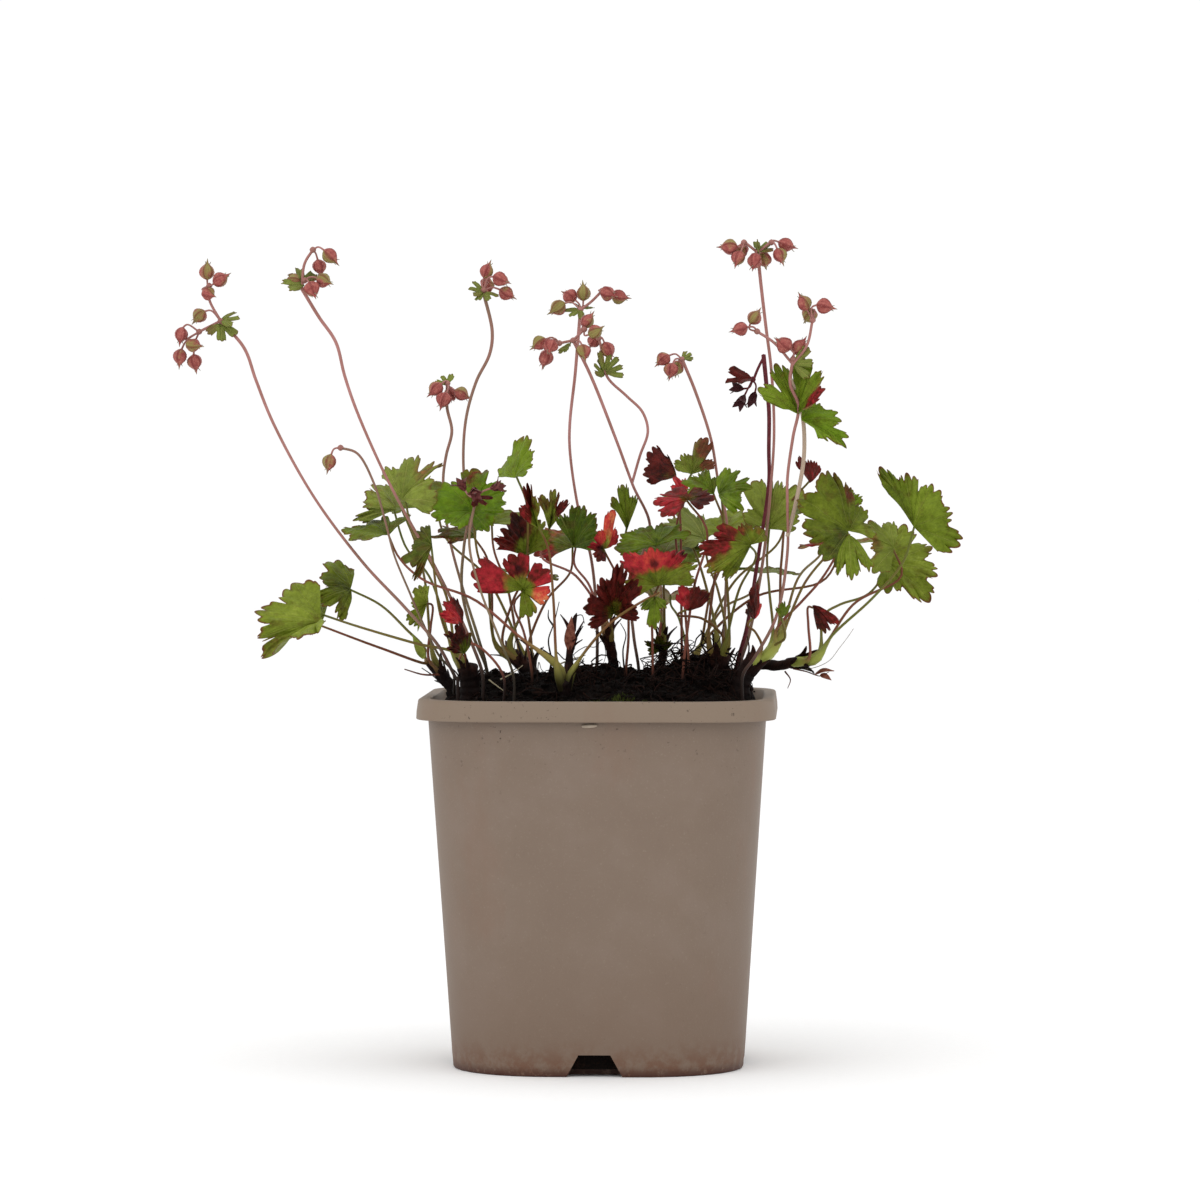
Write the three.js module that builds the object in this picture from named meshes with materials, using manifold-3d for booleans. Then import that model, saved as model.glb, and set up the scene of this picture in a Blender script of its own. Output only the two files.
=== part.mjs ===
// Potted cranesbill: a square nursery pot of peat with eleven rooted crowns, their leaves and flower stems.
// Millimetres, +Z up. The origin is the middle of the pot's foot, and -Y is the side that faces the viewer.
import * as THREE from 'three';
import { mergeVertices } from 'three/addons/utils/BufferGeometryUtils.js';
import Module from 'manifold-3d';

const wasm = await Module();
wasm.setup();

const vector = (p) => new THREE.Vector3(...p);
const lerp = THREE.MathUtils.lerp;
const radians = THREE.MathUtils.degToRad;
const smoothRoute = (points) => new THREE.CatmullRomCurve3(points.map(vector), false, 'centripetal');

// Driving dimensions of the pot
const FOOT_HALF = 53;
const FOOT_CORNER = 36;
const NECK_HALF = 61;
const NECK_CORNER = 28;
const RIM_HALF = 65;
const RIM_CORNER = 27;
const RIM_BAND = 7.4;
const RIM_FLARE = 0.6;
const RIM_WALL = 1.5;
const POT_HEIGHT = 135.5;
const WALL = 1.6;
const FLOOR = 2.4;
const ROUNDING = 1;
const CORNER_STEPS = 4;
const NOTCH = { foot: 20.2, top: 11.5, height: 8, depth: 10 };
const DRAIN = { radius: 5, offset: 25, sides: 16 };

// Driving dimensions of the peat
const PEAT_GAP = 0.35;
const PEAT_EDGE = 131;
const PEAT_RISE = 11;
const HOLE_GAP = 0.45;
const HOLE_FOOT = 118;
const HOLE_TOP = 160;
const ROOT_FOOT = 120;
const ROOT_TOP = 144;
// The shares of the half width at which the surface has its rings
const PEAT_RINGS = [0.93, 0.74, 0.52, 0.28];

// Driving dimensions of the leaves, the last five as shares of a lobe's length or width
const BLADE_THICKNESS = 1.2;
const END_LOBE_TURN = 50;
const CLEFT = 0.62;
const RIB = 0.45;
const TOOTH = 0.86;
const TOOTH_SPREAD = 0.36;
const RIDGE = 0.1;
// Driving dimensions of a round leaf: degrees to each side, then shares of the reach
const ROUND = {
  lobes: 5, fan: 150, shortest: 0.88, spread: 0.16, taper: 0.0006, cup: 0.12, droop: 0.12, sway: 0.3,
};

// Driving dimensions of the stalks
const STALK_SIDES = 4;
const PETIOLE = { foot: 0.8, tip: 0.6, end: 0.36, grip: 0.16 };
const SHEATH = { radius: 1.5, share: 0.12 };
const RHIZOME = { sides: 6, top: 0.7, swell: 0.12 };
const STEM = { foot: 1.02, tip: 0.68 };
const BRANCH_RADIUS = 0.64;

// Driving dimensions of the flower heads
const PEDICEL_RADIUS = 0.5;
const NODE_RADIUS = 1.5;
const CALYX_SIDES = 5;
const CALYX_REACH = 2.5;
// Distance from the pedicel and radius there, and how far the awns reach
const CALYX_PROFILE = [[0, 0.6], [1.5, 2.4], [4.3, 2.5]];
const CALYX_LENGTH = 8;
const BRACT_SUNK = 1.2;

// Slivers that fusing leaves, narrower than this, are merged away
const SLIVER = 0.05;

const COLOURS = {
  pot: { color: 0x8f8074, roughness: 0.62 },
  peat: { color: 0x1f1411, roughness: 0.95 },
  green: { color: 0x647f31, roughness: 0.55 },
  red: { color: 0xb23a35, roughness: 0.55 },
  maroon: { color: 0x5a2328, roughness: 0.6 },
  stem: { color: 0xa9625a, roughness: 0.55 },
};

// A leaf: its petiole's end, and the tips of its lobes, anticlockwise as seen from its upper side.
// The options are what the petiole passes on its way, and how far out the clefts reach.
const leaf = (seed, at, tips, options = {}) => ({ seed, at, tips, via: [], cleft: CLEFT, ...options });

// A leaf whose lobes stand evenly round it, from the tip of its middle lobe and roughly where it faces.
// Its margin is cupped, each lobe has its own length and lift, and the far side droops.
function roundLeaf(seed, at, tip, face) {
  const { along, up, across, reach } = flatAxes({ at, tip, face });
  const tips = Array.from({ length: ROUND.lobes }, (_, k) => {
    const bearing = ROUND.fan * ((2 * k + 1) / ROUND.lobes - 1);
    const angle = radians(bearing);
    const length = ROUND.shortest + ROUND.spread * draw(seed, k) - ROUND.taper * Math.abs(bearing);
    const droop = ROUND.droop * Math.max(0, Math.cos(angle) * length) ** 2;
    const lift = (ROUND.cup + (draw(seed, 20 + k) - 0.5) * ROUND.sway) * length * length - droop;
    return vector(at)
      .addScaledVector(along, Math.cos(angle) * length * reach)
      .addScaledVector(across, Math.sin(angle) * length * reach)
      .addScaledVector(up, lift * reach)
      .toArray();
  });
  return leaf(seed, at, tips);
}

// Each crown: the rhizome from its root in the peat to its top, its thickness there, and its leaves.
const CROWNS = {
  a: {
    rhizome: [[-53, -8, 120], [-53, -8, 135], [-59, -8, 145]], thickness: 2.6,
    leaves: [
      leaf(1, [-99, -44, 163], [[-111, -28, 177], [-124, -42, 166], [-122, -52, 157], [-120, -58, 150],
        [-102, -66, 159]], { via: [[-63, -10, 147], [-79, -22, 153]] }),
      leaf(2, [-92, 2, 174], [[-98, 14, 184], [-102, -8, 176], [-103, -18, 170], [-96, -12, 163]],
        { via: [[-64, -5, 152], [-71, -2, 159], [-81, 2, 168]] }),
      leaf(3, [-63, -10, 169], [[-66, -6, 176], [-69, -12, 169], [-70, -12, 161]]),
      roundLeaf(4, [-75, 34, 203], [-84, 47, 208], [-0.2, 0.2, 1]),
    ],
  },
  b: {
    rhizome: [[-46, -28, 120], [-46, -28, 138], [-47, -30, 147]], thickness: 4.6,
    leaves: [
      leaf(5, [-100, -16, 165], [[-107, -2, 171], [-109, -28, 167], [-108, -32, 159]],
        { via: [[-66, -28, 155], [-87, -26, 161]] }),
      leaf(6, [-72, -12, 207], [[-57, -24, 206], [-60, -16, 215], [-57, -4, 221], [-70, 4, 223],
        [-79, 2, 219]], { via: [[-55, -24, 172], [-62, -20, 186], [-68, -16, 196]] }),
      leaf(7, [-76, 12, 203], [[-84, 24, 213], [-88, 12, 210], [-88, 2, 204], [-91, -4, 199]]),
      leaf(8, [-58, -55, 191], [[-63, -44, 198], [-65, -50, 193], [-65, -64, 183], [-64, -68, 178]],
        { via: [[-56, -42, 166]], cleft: 0.7 }),
      leaf(9, [-47, -50, 152], [[-45, -48, 160], [-50, -58, 163], [-53, -62, 160], [-52, -63, 155]]),
    ],
  },
  c: {
    rhizome: [[-24, 3, 120], [-24, 3, 140], [-33, 5, 150]], thickness: 3.4,
    leaves: [
      leaf(10, [-45, -34, 203], [[-38, -48, 196], [-32, -44, 203], [-33, -32, 213], [-45, -20, 219],
        [-56, -26, 214], [-60, -40, 201], [-52, -48, 197]]),
      leaf(11, [-45, -8, 193], [[-50, 12, 197], [-59, 10, 196], [-64, -2, 193], [-56, -12, 191]]),
      leaf(12, [-30, -26, 215], [[-23, -36, 219], [-22, -30, 225], [-27, -18, 231], [-35, -12, 221]],
        { via: [[-27, 0, 170], [-26, -12, 190], [-26, -20, 206]] }),
      leaf(13, [-27, -2, 186], [[-17, -10, 194], [-22, 4, 200], [-32, -2, 203], [-36, -12, 197],
        [-39, -18, 193]]),
    ],
  },
  d: {
    rhizome: [[-11, -44, 120], [-11, -44, 135], [-11, -46, 142]], thickness: 3,
    leaves: [
      leaf(14, [-77, -8, 194], [[-72, 6, 201], [-84, 10, 199], [-95, 0, 196], [-90, -20, 192]],
        { via: [[-27, -47, 158], [-43, -44, 171], [-63, -28, 178], [-73, -15, 186]] }),
      leaf(15, [-20, -52, 197], [[-20, -60, 209], [-24, -50, 214], [-27, -58, 205]]),
      leaf(16, [22, -58, 173], [[17, -62, 168], [22, -66, 161], [26, -64, 169]]),
    ],
  },
  e: {
    rhizome: [[5, 9, 120], [5, 9, 142], [3, 0, 158]], thickness: 2.4,
    leaves: [
      leaf(17, [-20, 26, 195], [[-13, 30, 207], [-18, 34, 211], [-23, 26, 209]]),
      leaf(18, [-10, 10, 189], [[0, 0, 193], [-1, 8, 202], [-9, 20, 205], [-16, 18, 202]]),
      leaf(19, [6, -31, 166], [[16, -42, 167], [16, -44, 179], [10, -44, 185], [2, -40, 180],
        [-5, -46, 169], [-3, -42, 162]], { cleft: 0.6 }),
    ],
  },
  f: {
    rhizome: [[22, 22, 120], [22, 22, 142], [23, 19, 156]], thickness: 1.9,
    leaves: [
      leaf(20, [9, 28, 195], [[12, 34, 209], [7, 36, 213], [3, 30, 208]]),
      leaf(21, [21, -6, 190], [[34, -4, 195], [25, 10, 198], [14, 8, 197], [7, 0, 194], [5, -12, 188]]),
      roundLeaf(22, [22, 62, 186], [26, 79, 194], [0.1, 0.3, 1]),
      leaf(49, [22, 10, 151], [[26, 4, 155], [21, 0, 157], [16, 2, 155], [17, 0, 151]]),
    ],
  },
  g: {
    rhizome: [[43, -3, 120], [43, -3, 143], [44, -4, 151]], thickness: 5,
    leaves: [
      leaf(23, [42, -8, 209], [[43, -2, 216], [37, 4, 218], [32, 2, 215], [32, -14, 209]]),
      leaf(24, [33, 30, 216], [[42, 34, 221], [39, 38, 230], [30, 34, 224], [26, 26, 220]]),
      leaf(25, [44, -22, 209], [[53, -40, 204], [56, -36, 212], [52, -24, 218], [47, -16, 219]]),
      leaf(26, [38, 20, 192], [[36, 32, 201], [29, 34, 204], [22, 26, 199], [29, 12, 190]]),
      leaf(27, [56, -34, 191], [[61, -28, 196], [52, -34, 199], [42, -42, 195], [36, -48, 190],
        [39, -52, 180], [46, -50, 178]]),
      leaf(28, [33, -32, 167], [[41, -30, 174], [36, -36, 177], [30, -42, 176]]),
    ],
  },
  h: {
    rhizome: [[52, -22, 120], [52, -22, 140], [58, -22, 150]], thickness: 4.4,
    leaves: [
      leaf(29, [62, 4, 196], [[74, -2, 199], [72, 12, 213], [65, 16, 215], [57, 14, 215], [52, 2, 202]]),
      leaf(30, [91, -34, 196], [[101, -26, 196], [96, -22, 205], [90, -22, 214], [84, -24, 219],
        [72, -34, 208], [74, -46, 195], [82, -54, 184]], { via: [[65, -22, 160], [74, -22, 170],
        [81, -26, 178], [87, -31, 188]] }),
      leaf(31, [91, -50, 195], [[87, -62, 180], [92, -66, 179], [99, -58, 182]], { cleft: 0.6 }),
      leaf(32, [87, 22, 202], [[97, 22, 208], [92, 28, 211], [87, 30, 215], [81, 26, 215]]),
      leaf(33, [57, -36, 164], [[59, -32, 171], [57, -40, 178], [54, -44, 170]]),
      leaf(34, [67, -42, 165], [[70, -44, 170], [67, -48, 171], [65, -46, 169]], { via: [[68, -30, 157]] }),
      leaf(48, [77, -2, 213], [[80, 2, 221], [76, -4, 222], [72, -10, 223]]),
    ],
  },
  i: {
    rhizome: [[51, 18, 121], [51, 18, 132], [51, 18, 142], [57, 10, 146], [66, 1, 146], [74, -5, 148]],
    thickness: 2.8,
    leaves: [
      leaf(35, [115, -4, 197], [[133, -16, 190], [130, -8, 202], [122, 2, 213], [112, 8, 217],
        [102, 8, 220]], { via: [[85, -6, 157], [100, -6, 171], [111, -5, 184]] }),
      leaf(36, [106, 22, 183], [[106, 8, 172], [122, 12, 169], [125, 18, 179], [123, 26, 189],
        [113, 34, 197]], { via: [[82, 4, 164], [88, 12, 168], [99, 20, 172]] }),
      leaf(37, [108, 9, 189], [[106, 19, 199], [98, 15, 199], [99, 7, 189], [100, 0, 180]]),
      leaf(38, [78, -31, 169], [[83, -42, 159], [88, -38, 162]], { cleft: 0.3 }),
    ],
  },
  j: {
    rhizome: [[-28, 42, 120], [-28, 42, 137], [-29, 43, 146]], thickness: 4.2,
    leaves: [
      roundLeaf(39, [-64, 59, 206], [-75, 73, 212], [-0.2, 0.1, 1]),
      roundLeaf(40, [-43, 58, 197], [-47, 75, 203], [-0.1, 0.3, 1]),
      roundLeaf(41, [-13, 64, 188], [-11, 81, 195], [0, 0.3, 1]),
      roundLeaf(42, [-32, 68, 177], [-35, 85, 176], [0, 0.5, 0.9]),
    ],
  },
  k: {
    rhizome: [[30, 46, 120], [30, 46, 137], [31, 47, 146]], thickness: 4.2,
    leaves: [
      roundLeaf(43, [45, 62, 194], [51, 78, 202], [0.1, 0.2, 1]),
      roundLeaf(44, [68, 54, 202], [80, 66, 209], [0.2, 0.1, 1]),
      roundLeaf(45, [88, 48, 188], [103, 58, 190], [0.3, 0.2, 1]),
      roundLeaf(46, [58, 74, 178], [65, 90, 176], [0.2, 0.5, 0.9]),
      roundLeaf(47, [24, 76, 170], [22, 93, 168], [0, 0.5, 0.9]),
    ],
  },
};

// Leaves that have turned red, each on a petiole of its own that stands in the peat
const RED_LEAVES = {
  a: {
    foot: [-24, -22],
    ...leaf(51, [-27, -24, 174], [[-24, -34, 164], [-17, -30, 171], [-17, -22, 182], [-32, -22, 188],
      [-46, -35, 181]], { cleft: 0.3 }),
  },
  b: {
    foot: [10, -14],
    ...leaf(52, [2, -16, 189], [[7, -8, 196], [5, -16, 204], [0, -22, 196], [-4, -22, 190],
      [0, -26, 185]], { via: [[11, -15, 158], [10, -16, 172]], cleft: 0.6 }),
  },
  c: {
    foot: [20, -20],
    ...leaf(53, [22, -25, 176], [[36, -32, 178], [37, -24, 184], [32, -18, 189], [19, -18, 190],
      [9, -22, 188], [9, -30, 175]]),
  },
  d: {
    foot: [31, -22],
    ...leaf(54, [33, -29, 207], [[41, -38, 205], [40, -24, 211], [24, -20, 210], [20, -32, 206],
      [23, -40, 201]], { cleft: 0.3 }),
  },
  e: {
    foot: [33, -10],
    ...leaf(55, [31, 2, 207], [[31, 6, 215], [27, 4, 216], [26, -4, 211]]),
  },
  f: {
    foot: [30, 5],
    ...leaf(56, [28, 8, 215], [[23, 14, 224], [19, 14, 227], [15, 4, 216]]),
  },
  g: {
    foot: [-33, -47],
    ...leaf(57, [-48, -44, 162], [[-52, -41, 173], [-55, -52, 170], [-55, -58, 166]]),
  },
};

// A flower head: where its pedicels part, then each bud's middle and the point that its awns aim at
const head = (from, ...buds) => ({ from, buds });
// A small bract under a flower head: its foot and its tip
const bract = (at, tip, face = [0, -0.6, 0.8]) => ({ at, tip, face });

// Each flower stem from its head down to its foot, with side branches and the heads where pedicels part
const FLOWER_STEMS = {
  a: {
    route: [[-142, 22, 273], [-133, 19, 263], [-128, 13, 251], [-121, 7, 235], [-105, -5, 208],
      [-86, -16, 184], [-70, -26, 168], [-57, -34, 154], [-50, -38, 142]],
    foot: [-50, -38],
    branches: [[[-142, 22, 273], [-146, 20, 281], [-146, 20, 287]], [[-142, 22, 273], [-150, 22, 269]]],
    heads: [
      head([-146, 20, 286],
        [[-147, 22, 291], [-147, 22, 296]], [[-142, 18, 288], [-137, 17, 291]],
        [[-146, 17, 283], [-141, 13, 281]]),
      head([-142, 22, 273], [[-150, 24, 275], [-153, 25, 272]]),
      head([-150, 22, 269],
        [[-157, 20, 268], [-158, 20, 263]], [[-152, 18, 264], [-147, 16, 263]],
        [[-158, 24, 260], [-159, 24, 254]], [[-152, 25, 258], [-151, 26, 252]]),
    ],
    bracts: [bract([-142, 22, 273], [-132, 20, 274]), bract([-142, 22, 272], [-141, 16, 264])],
  },
  b: {
    route: [[-105, -52, 283], [-99, -51, 273], [-93, -50, 264], [-90, -48, 252], [-86, -47, 240],
      [-77, -45, 219], [-69, -42, 203], [-60, -35, 186], [-53, -33, 172], [-44, -37, 153]],
    foot: [-41, -38],
    branches: [[[-105, -52, 283], [-104, -52, 292], [-101, -52, 297]]],
    heads: [
      head([-101, -52, 297], [[-95, -53, 295], [-91, -53, 291]], [[-99, -49, 291], [-98, -48, 286]]),
      head([-104, -52, 286],
        [[-97, -55, 286], [-92, -57, 284]], [[-101, -57, 283], [-99, -60, 279]],
        [[-108, -50, 286], [-112, -49, 286]]),
    ],
    bracts: [bract([-104, -52, 284], [-114, -54, 286]), bract([-105, -52, 285], [-100, -46, 290])],
  },
  c: {
    route: [[-93, -30, 226], [-87, -30, 224], [-81, -28, 213], [-77, -26, 199], [-74, -24, 187],
      [-69, -20, 174], [-64, -18, 162], [-58, -18, 150]],
    foot: [-53, -18],
    branches: [],
    heads: [
      head([-93, -30, 226], [[-97, -30, 221], [-98, -30, 216]]),
    ],
    bracts: [],
  },
  d: {
    route: [[-59, 44, 250], [-59, 42, 241], [-57, 39, 232], [-59, 37, 223], [-60, 35, 214],
      [-58, 31, 195], [-52, 26, 173], [-46, 21, 155]],
    foot: [-43, 20],
    branches: [],
    heads: [
      head([-59, 44, 250],
        [[-63, 42, 248], [-67, 41, 244]], [[-60, 40, 244], [-62, 38, 239]],
        [[-54, 45, 246], [-49, 46, 243]], [[-58, 49, 246], [-57, 53, 243]]),
    ],
    bracts: [bract([-59, 44, 249], [-62, 47, 254])],
  },
  e: {
    route: [[-41, -30, 282], [-38, -28, 268], [-39, -27, 260], [-44, -25, 250], [-48, -22, 236],
      [-49, -19, 218], [-47, -19, 203], [-49, -17, 190], [-50, -13, 174], [-46, -10, 157]],
    foot: [-41, -9],
    branches: [],
    heads: [
      head([-41, -30, 283],
        [[-40, -29, 290], [-38, -29, 295]], [[-35, -33, 287], [-31, -35, 285]],
        [[-33, -28, 282], [-28, -27, 279]], [[-40, -25, 285], [-41, -20, 283]]),
    ],
    bracts: [bract([-41, -30, 282], [-48, -32, 284]), bract([-41, -30, 282], [-38, -36, 278])],
  },
  f: {
    route: [[-8, 20, 277], [-9, 20, 265], [-10, 20, 253], [-12, 21, 235], [-12, 21, 225], [-9, 21, 204],
      [-4, 22, 184], [-2, 23, 160]],
    foot: [-2, 24],
    branches: [[[-8, 20, 277], [-4, 20, 280], [0, 20, 284]]],
    heads: [
      head([-8, 20, 277],
        [[-16, 18, 278], [-20, 17, 275]], [[-12, 24, 282], [-15, 26, 284]],
        [[-7, 22, 283], [-7, 23, 288]]),
      head([0, 20, 284], [[2, 17, 283], [5, 15, 282]], [[6, 22, 282], [11, 23, 281]]),
    ],
    bracts: [bract([-8, 20, 277], [-13, 15, 273]), bract([-8, 20, 277], [-5, 26, 279])],
  },
  g: {
    route: [[-9, -20, 265], [-3, -19, 253], [6, -14, 230], [12, -7, 213], [18, 13, 195], [11, 14, 176],
      [12, 10, 157]],
    foot: [14, 8],
    branches: [[[-9, -20, 265], [-14, -20, 264]], [[-9, -20, 265], [-5, -20, 269]],
      [[12, -7, 213], [15, -11, 223], [18, -14, 232], [16, -13, 239], [10, -12, 245], [3, -12, 252],
        [1, -12, 262], [0, -12, 266]]],
    heads: [
      head([-14, -20, 264],
        [[-21, -22, 264], [-25, -23, 261]], [[-17, -25, 263], [-18, -29, 259]],
        [[-19, -17, 259], [-21, -15, 254]]),
      head([-5, -20, 269], [[-4, -18, 272], [-1, -17, 276]], [[-1, -23, 268], [3, -25, 270]]),
      head([-9, -20, 265], [[-5, -25, 261], [-4, -28, 257]]),
      head([0, -12, 266], [[3, -11, 262], [5, -10, 257]], [[-2, -8, 265], [-4, -5, 262]]),
    ],
    bracts: [bract([2, -12, 253], [9, -14, 261], [0, -1, 0.2]), bract([2, -12, 252], [-3, -15, 258]),
      bract([-10, -20, 264], [-13, -15, 260])],
  },
  h: {
    route: [[29, 48, 259], [34, 45, 247], [40, 40, 229], [43, 35, 212], [46, 29, 199], [46, 22, 177],
      [45, 15, 155]],
    foot: [44, 14],
    branches: [],
    heads: [
      head([29, 48, 259],
        [[22, 48, 259], [18, 47, 256]], [[25, 45, 255], [24, 43, 250]],
        [[27, 53, 256], [26, 56, 252]]),
    ],
    bracts: [bract([29, 48, 259], [34, 49, 262])],
  },
  i: {
    route: [[58, -14, 297], [59, -14, 287], [61, -14, 270], [63, -14, 254], [64, -13, 232], [63, -12, 214],
      [60, -13, 185], [55, -11, 158]],
    foot: [51, -9],
    branches: [[[58, -14, 297], [53, -14, 301]], [[58, -14, 297], [63, -14, 301]]],
    heads: [
      head([53, -14, 301],
        [[48, -14, 299], [43, -14, 299]], [[51, -17, 295], [49, -19, 290]],
        [[52, -9, 298], [49, -5, 296]]),
      head([58, -14, 297], [[57, -19, 294], [56, -22, 290]], [[60, -9, 295], [61, -6, 291]]),
      head([63, -14, 301], [[66, -16, 296], [68, -17, 291]], [[68, -12, 300], [73, -11, 298]]),
    ],
    bracts: [bract([58, -14, 297], [57, -18, 303]), bract([58, -14, 297], [63, -10, 303])],
  },
  j: {
    route: [[71, -34, 258], [70, -34, 249], [73, -34, 241], [71, -33, 230], [69, -33, 215], [69, -33, 205],
      [69, -33, 188], [65, -34, 165], [57, -35, 150]],
    foot: [53, -35],
    branches: [[[71, -34, 256], [64, -33, 264], [58, -32, 268]],
      [[71, -34, 256], [76, -35, 263], [78, -35, 272]],
      [[70, -34, 251], [74, -29, 240], [75, -27, 224], [72, -30, 206], [69, -33, 194]]],
    heads: [
      head([58, -32, 268], [[57, -31, 273], [60, -31, 277]], [[52, -34, 269], [48, -35, 268]]),
      head([78, -35, 272],
        [[75, -35, 278], [73, -36, 282]], [[82, -37, 277], [86, -38, 276]],
        [[77, -31, 274], [75, -28, 271]]),
      head([71, -34, 258], [[68, -37, 263], [65, -39, 265]], [[73, -32, 262], [76, -31, 266]]),
    ],
    bracts: [bract([71, -34, 256], [81, -36, 257], [0, -1, 0.2])],
    leaves: [
      leaf(61, [73, -34, 238], [[82, -48, 246], [83, -38, 254], [75, -28, 259], [64, -28, 257],
        [58, -38, 248]], { cleft: 0.45 }),
      leaf(62, [74, -33, 236], [[84, -44, 228], [91, -38, 226], [89, -34, 236], [79, -26, 243]],
        { cleft: 0.75 }),
    ],
  },
  k: {
    route: [[-43, -45, 208], [-45, -51, 192], [-41, -56, 176], [-34, -56, 158]],
    foot: [-29, -53],
    branches: [],
    heads: [
      head([-43, -45, 208],
        [[-48, -47, 213], [-50, -48, 217]], [[-43, -50, 210], [-42, -54, 207]],
        [[-35, -46, 212], [-30, -46, 213]]),
    ],
    bracts: [bract([-43, -45, 208], [-38, -50, 205])],
  },
};

// A stem of last year, dead and dark, with a few empty calyces
const DEAD_STEM = {
  route: [[60, -1, 260], [61, -1, 250], [62, -2, 240], [62, -3, 225], [62, -3, 213], [58, -5, 185],
    [54, -1, 160]],
  foot: [50, 4],
  branches: [[[60, -1, 259], [58, -1, 255], [56, 1, 250]]],
  heads: [
    head([56, 1, 251],
      [[50, 2, 248], [45, 3, 249]], [[52, -3, 243], [50, -5, 239]],
      [[56, 4, 244], [54, 6, 239]]),
    ],
  bracts: [],
};

// A repeatable draw from 0 to 1, by the fractional part of a large sine
function draw(seed, index) {
  const s = Math.sin(seed * 12.9898 + index * 78.233) * 43758.5453;
  return s - Math.floor(s);
}

// A closed mesh through rings of equal count, each end closed by a fan to its middle or to a given apex
function loft(rings, apex) {
  const count = rings[0].length;
  const middle = (ring) => ring.reduce((sum, p) => sum.add(p), new THREE.Vector3()).divideScalar(count);
  const points = [...rings.flat(), middle(rings[0]), apex ?? middle(rings.at(-1))];
  const index = [];
  for (let r = 0; r + 1 < rings.length; r += 1) {
    for (let i = 0; i < count; i += 1) {
      const a = r * count + i;
      const b = r * count + ((i + 1) % count);
      index.push(a, b, a + count, b, b + count, a + count);
    }
  }
  const last = (rings.length - 1) * count;
  for (let i = 0; i < count; i += 1) {
    const next = (i + 1) % count;
    index.push(points.length - 2, next, i, points.length - 1, last + i, last + next);
  }
  return shell(points, index);
}

// A closed mesh from points and triangles, turned so that its faces point outwards
function shell(points, index) {
  const geometry = new THREE.BufferGeometry().setFromPoints(points);
  let volume = 0;
  for (let t = 0; t < index.length; t += 3) {
    const [a, b, c] = [points[index[t]], points[index[t + 1]], points[index[t + 2]]];
    volume += a.dot(b.clone().cross(c));
  }
  geometry.setIndex(volume < 0 ? index.reverse() : index);
  return geometry;
}

function toSolid(source) {
  const bare = source.clone();
  bare.deleteAttribute('normal');
  bare.deleteAttribute('uv');
  const merged = mergeVertices(bare, 1e-5);
  return new wasm.Manifold(new wasm.Mesh({
    numProp: 3,
    vertProperties: new Float32Array(merged.attributes.position.array),
    triVerts: new Uint32Array(merged.index.array),
  }));
}

function toGeometry(solid) {
  const mesh = solid.getMesh();
  const geometry = new THREE.BufferGeometry();
  geometry.setAttribute('position', new THREE.BufferAttribute(new Float32Array(mesh.vertProperties), 3));
  geometry.setIndex(new THREE.BufferAttribute(new Uint32Array(mesh.triVerts), 1));
  return geometry;
}

const fuse = (geometries) => (
  geometries.map(toSolid).reduce((sum, solid) => sum.add(solid)).asOriginal().simplify(SLIVER)
);
const cut = (solid, tools) => tools.map(toSolid).reduce((left, tool) => left.subtract(tool), solid);

// A square ring with rounded corners, level at height z
function squareRing(half, corner, z, lift = () => 0) {
  const ring = [];
  for (let i = 0; i < 4 * (CORNER_STEPS + 1); i += 1) {
    const quarter = Math.floor(i / (CORNER_STEPS + 1));
    const angle = (quarter + (i % (CORNER_STEPS + 1)) / CORNER_STEPS) * (Math.PI / 2);
    const side = quarter * (Math.PI / 2) + Math.PI / 4;
    const x = Math.sign(Math.cos(side)) * (half - corner) + corner * Math.cos(angle);
    const y = Math.sign(Math.sin(side)) * (half - corner) + corner * Math.sin(angle);
    ring.push(new THREE.Vector3(x, y, z + lift(x, y)));
  }
  return ring;
}

// The pot's outer half width and corner radius at height z, along its straight taper
function bodyAt(z, inset = 0) {
  const t = z / (POT_HEIGHT - RIM_BAND);
  return [lerp(FOOT_HALF, NECK_HALF, t) - inset, lerp(FOOT_CORNER, NECK_CORNER, t) - inset];
}

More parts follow.
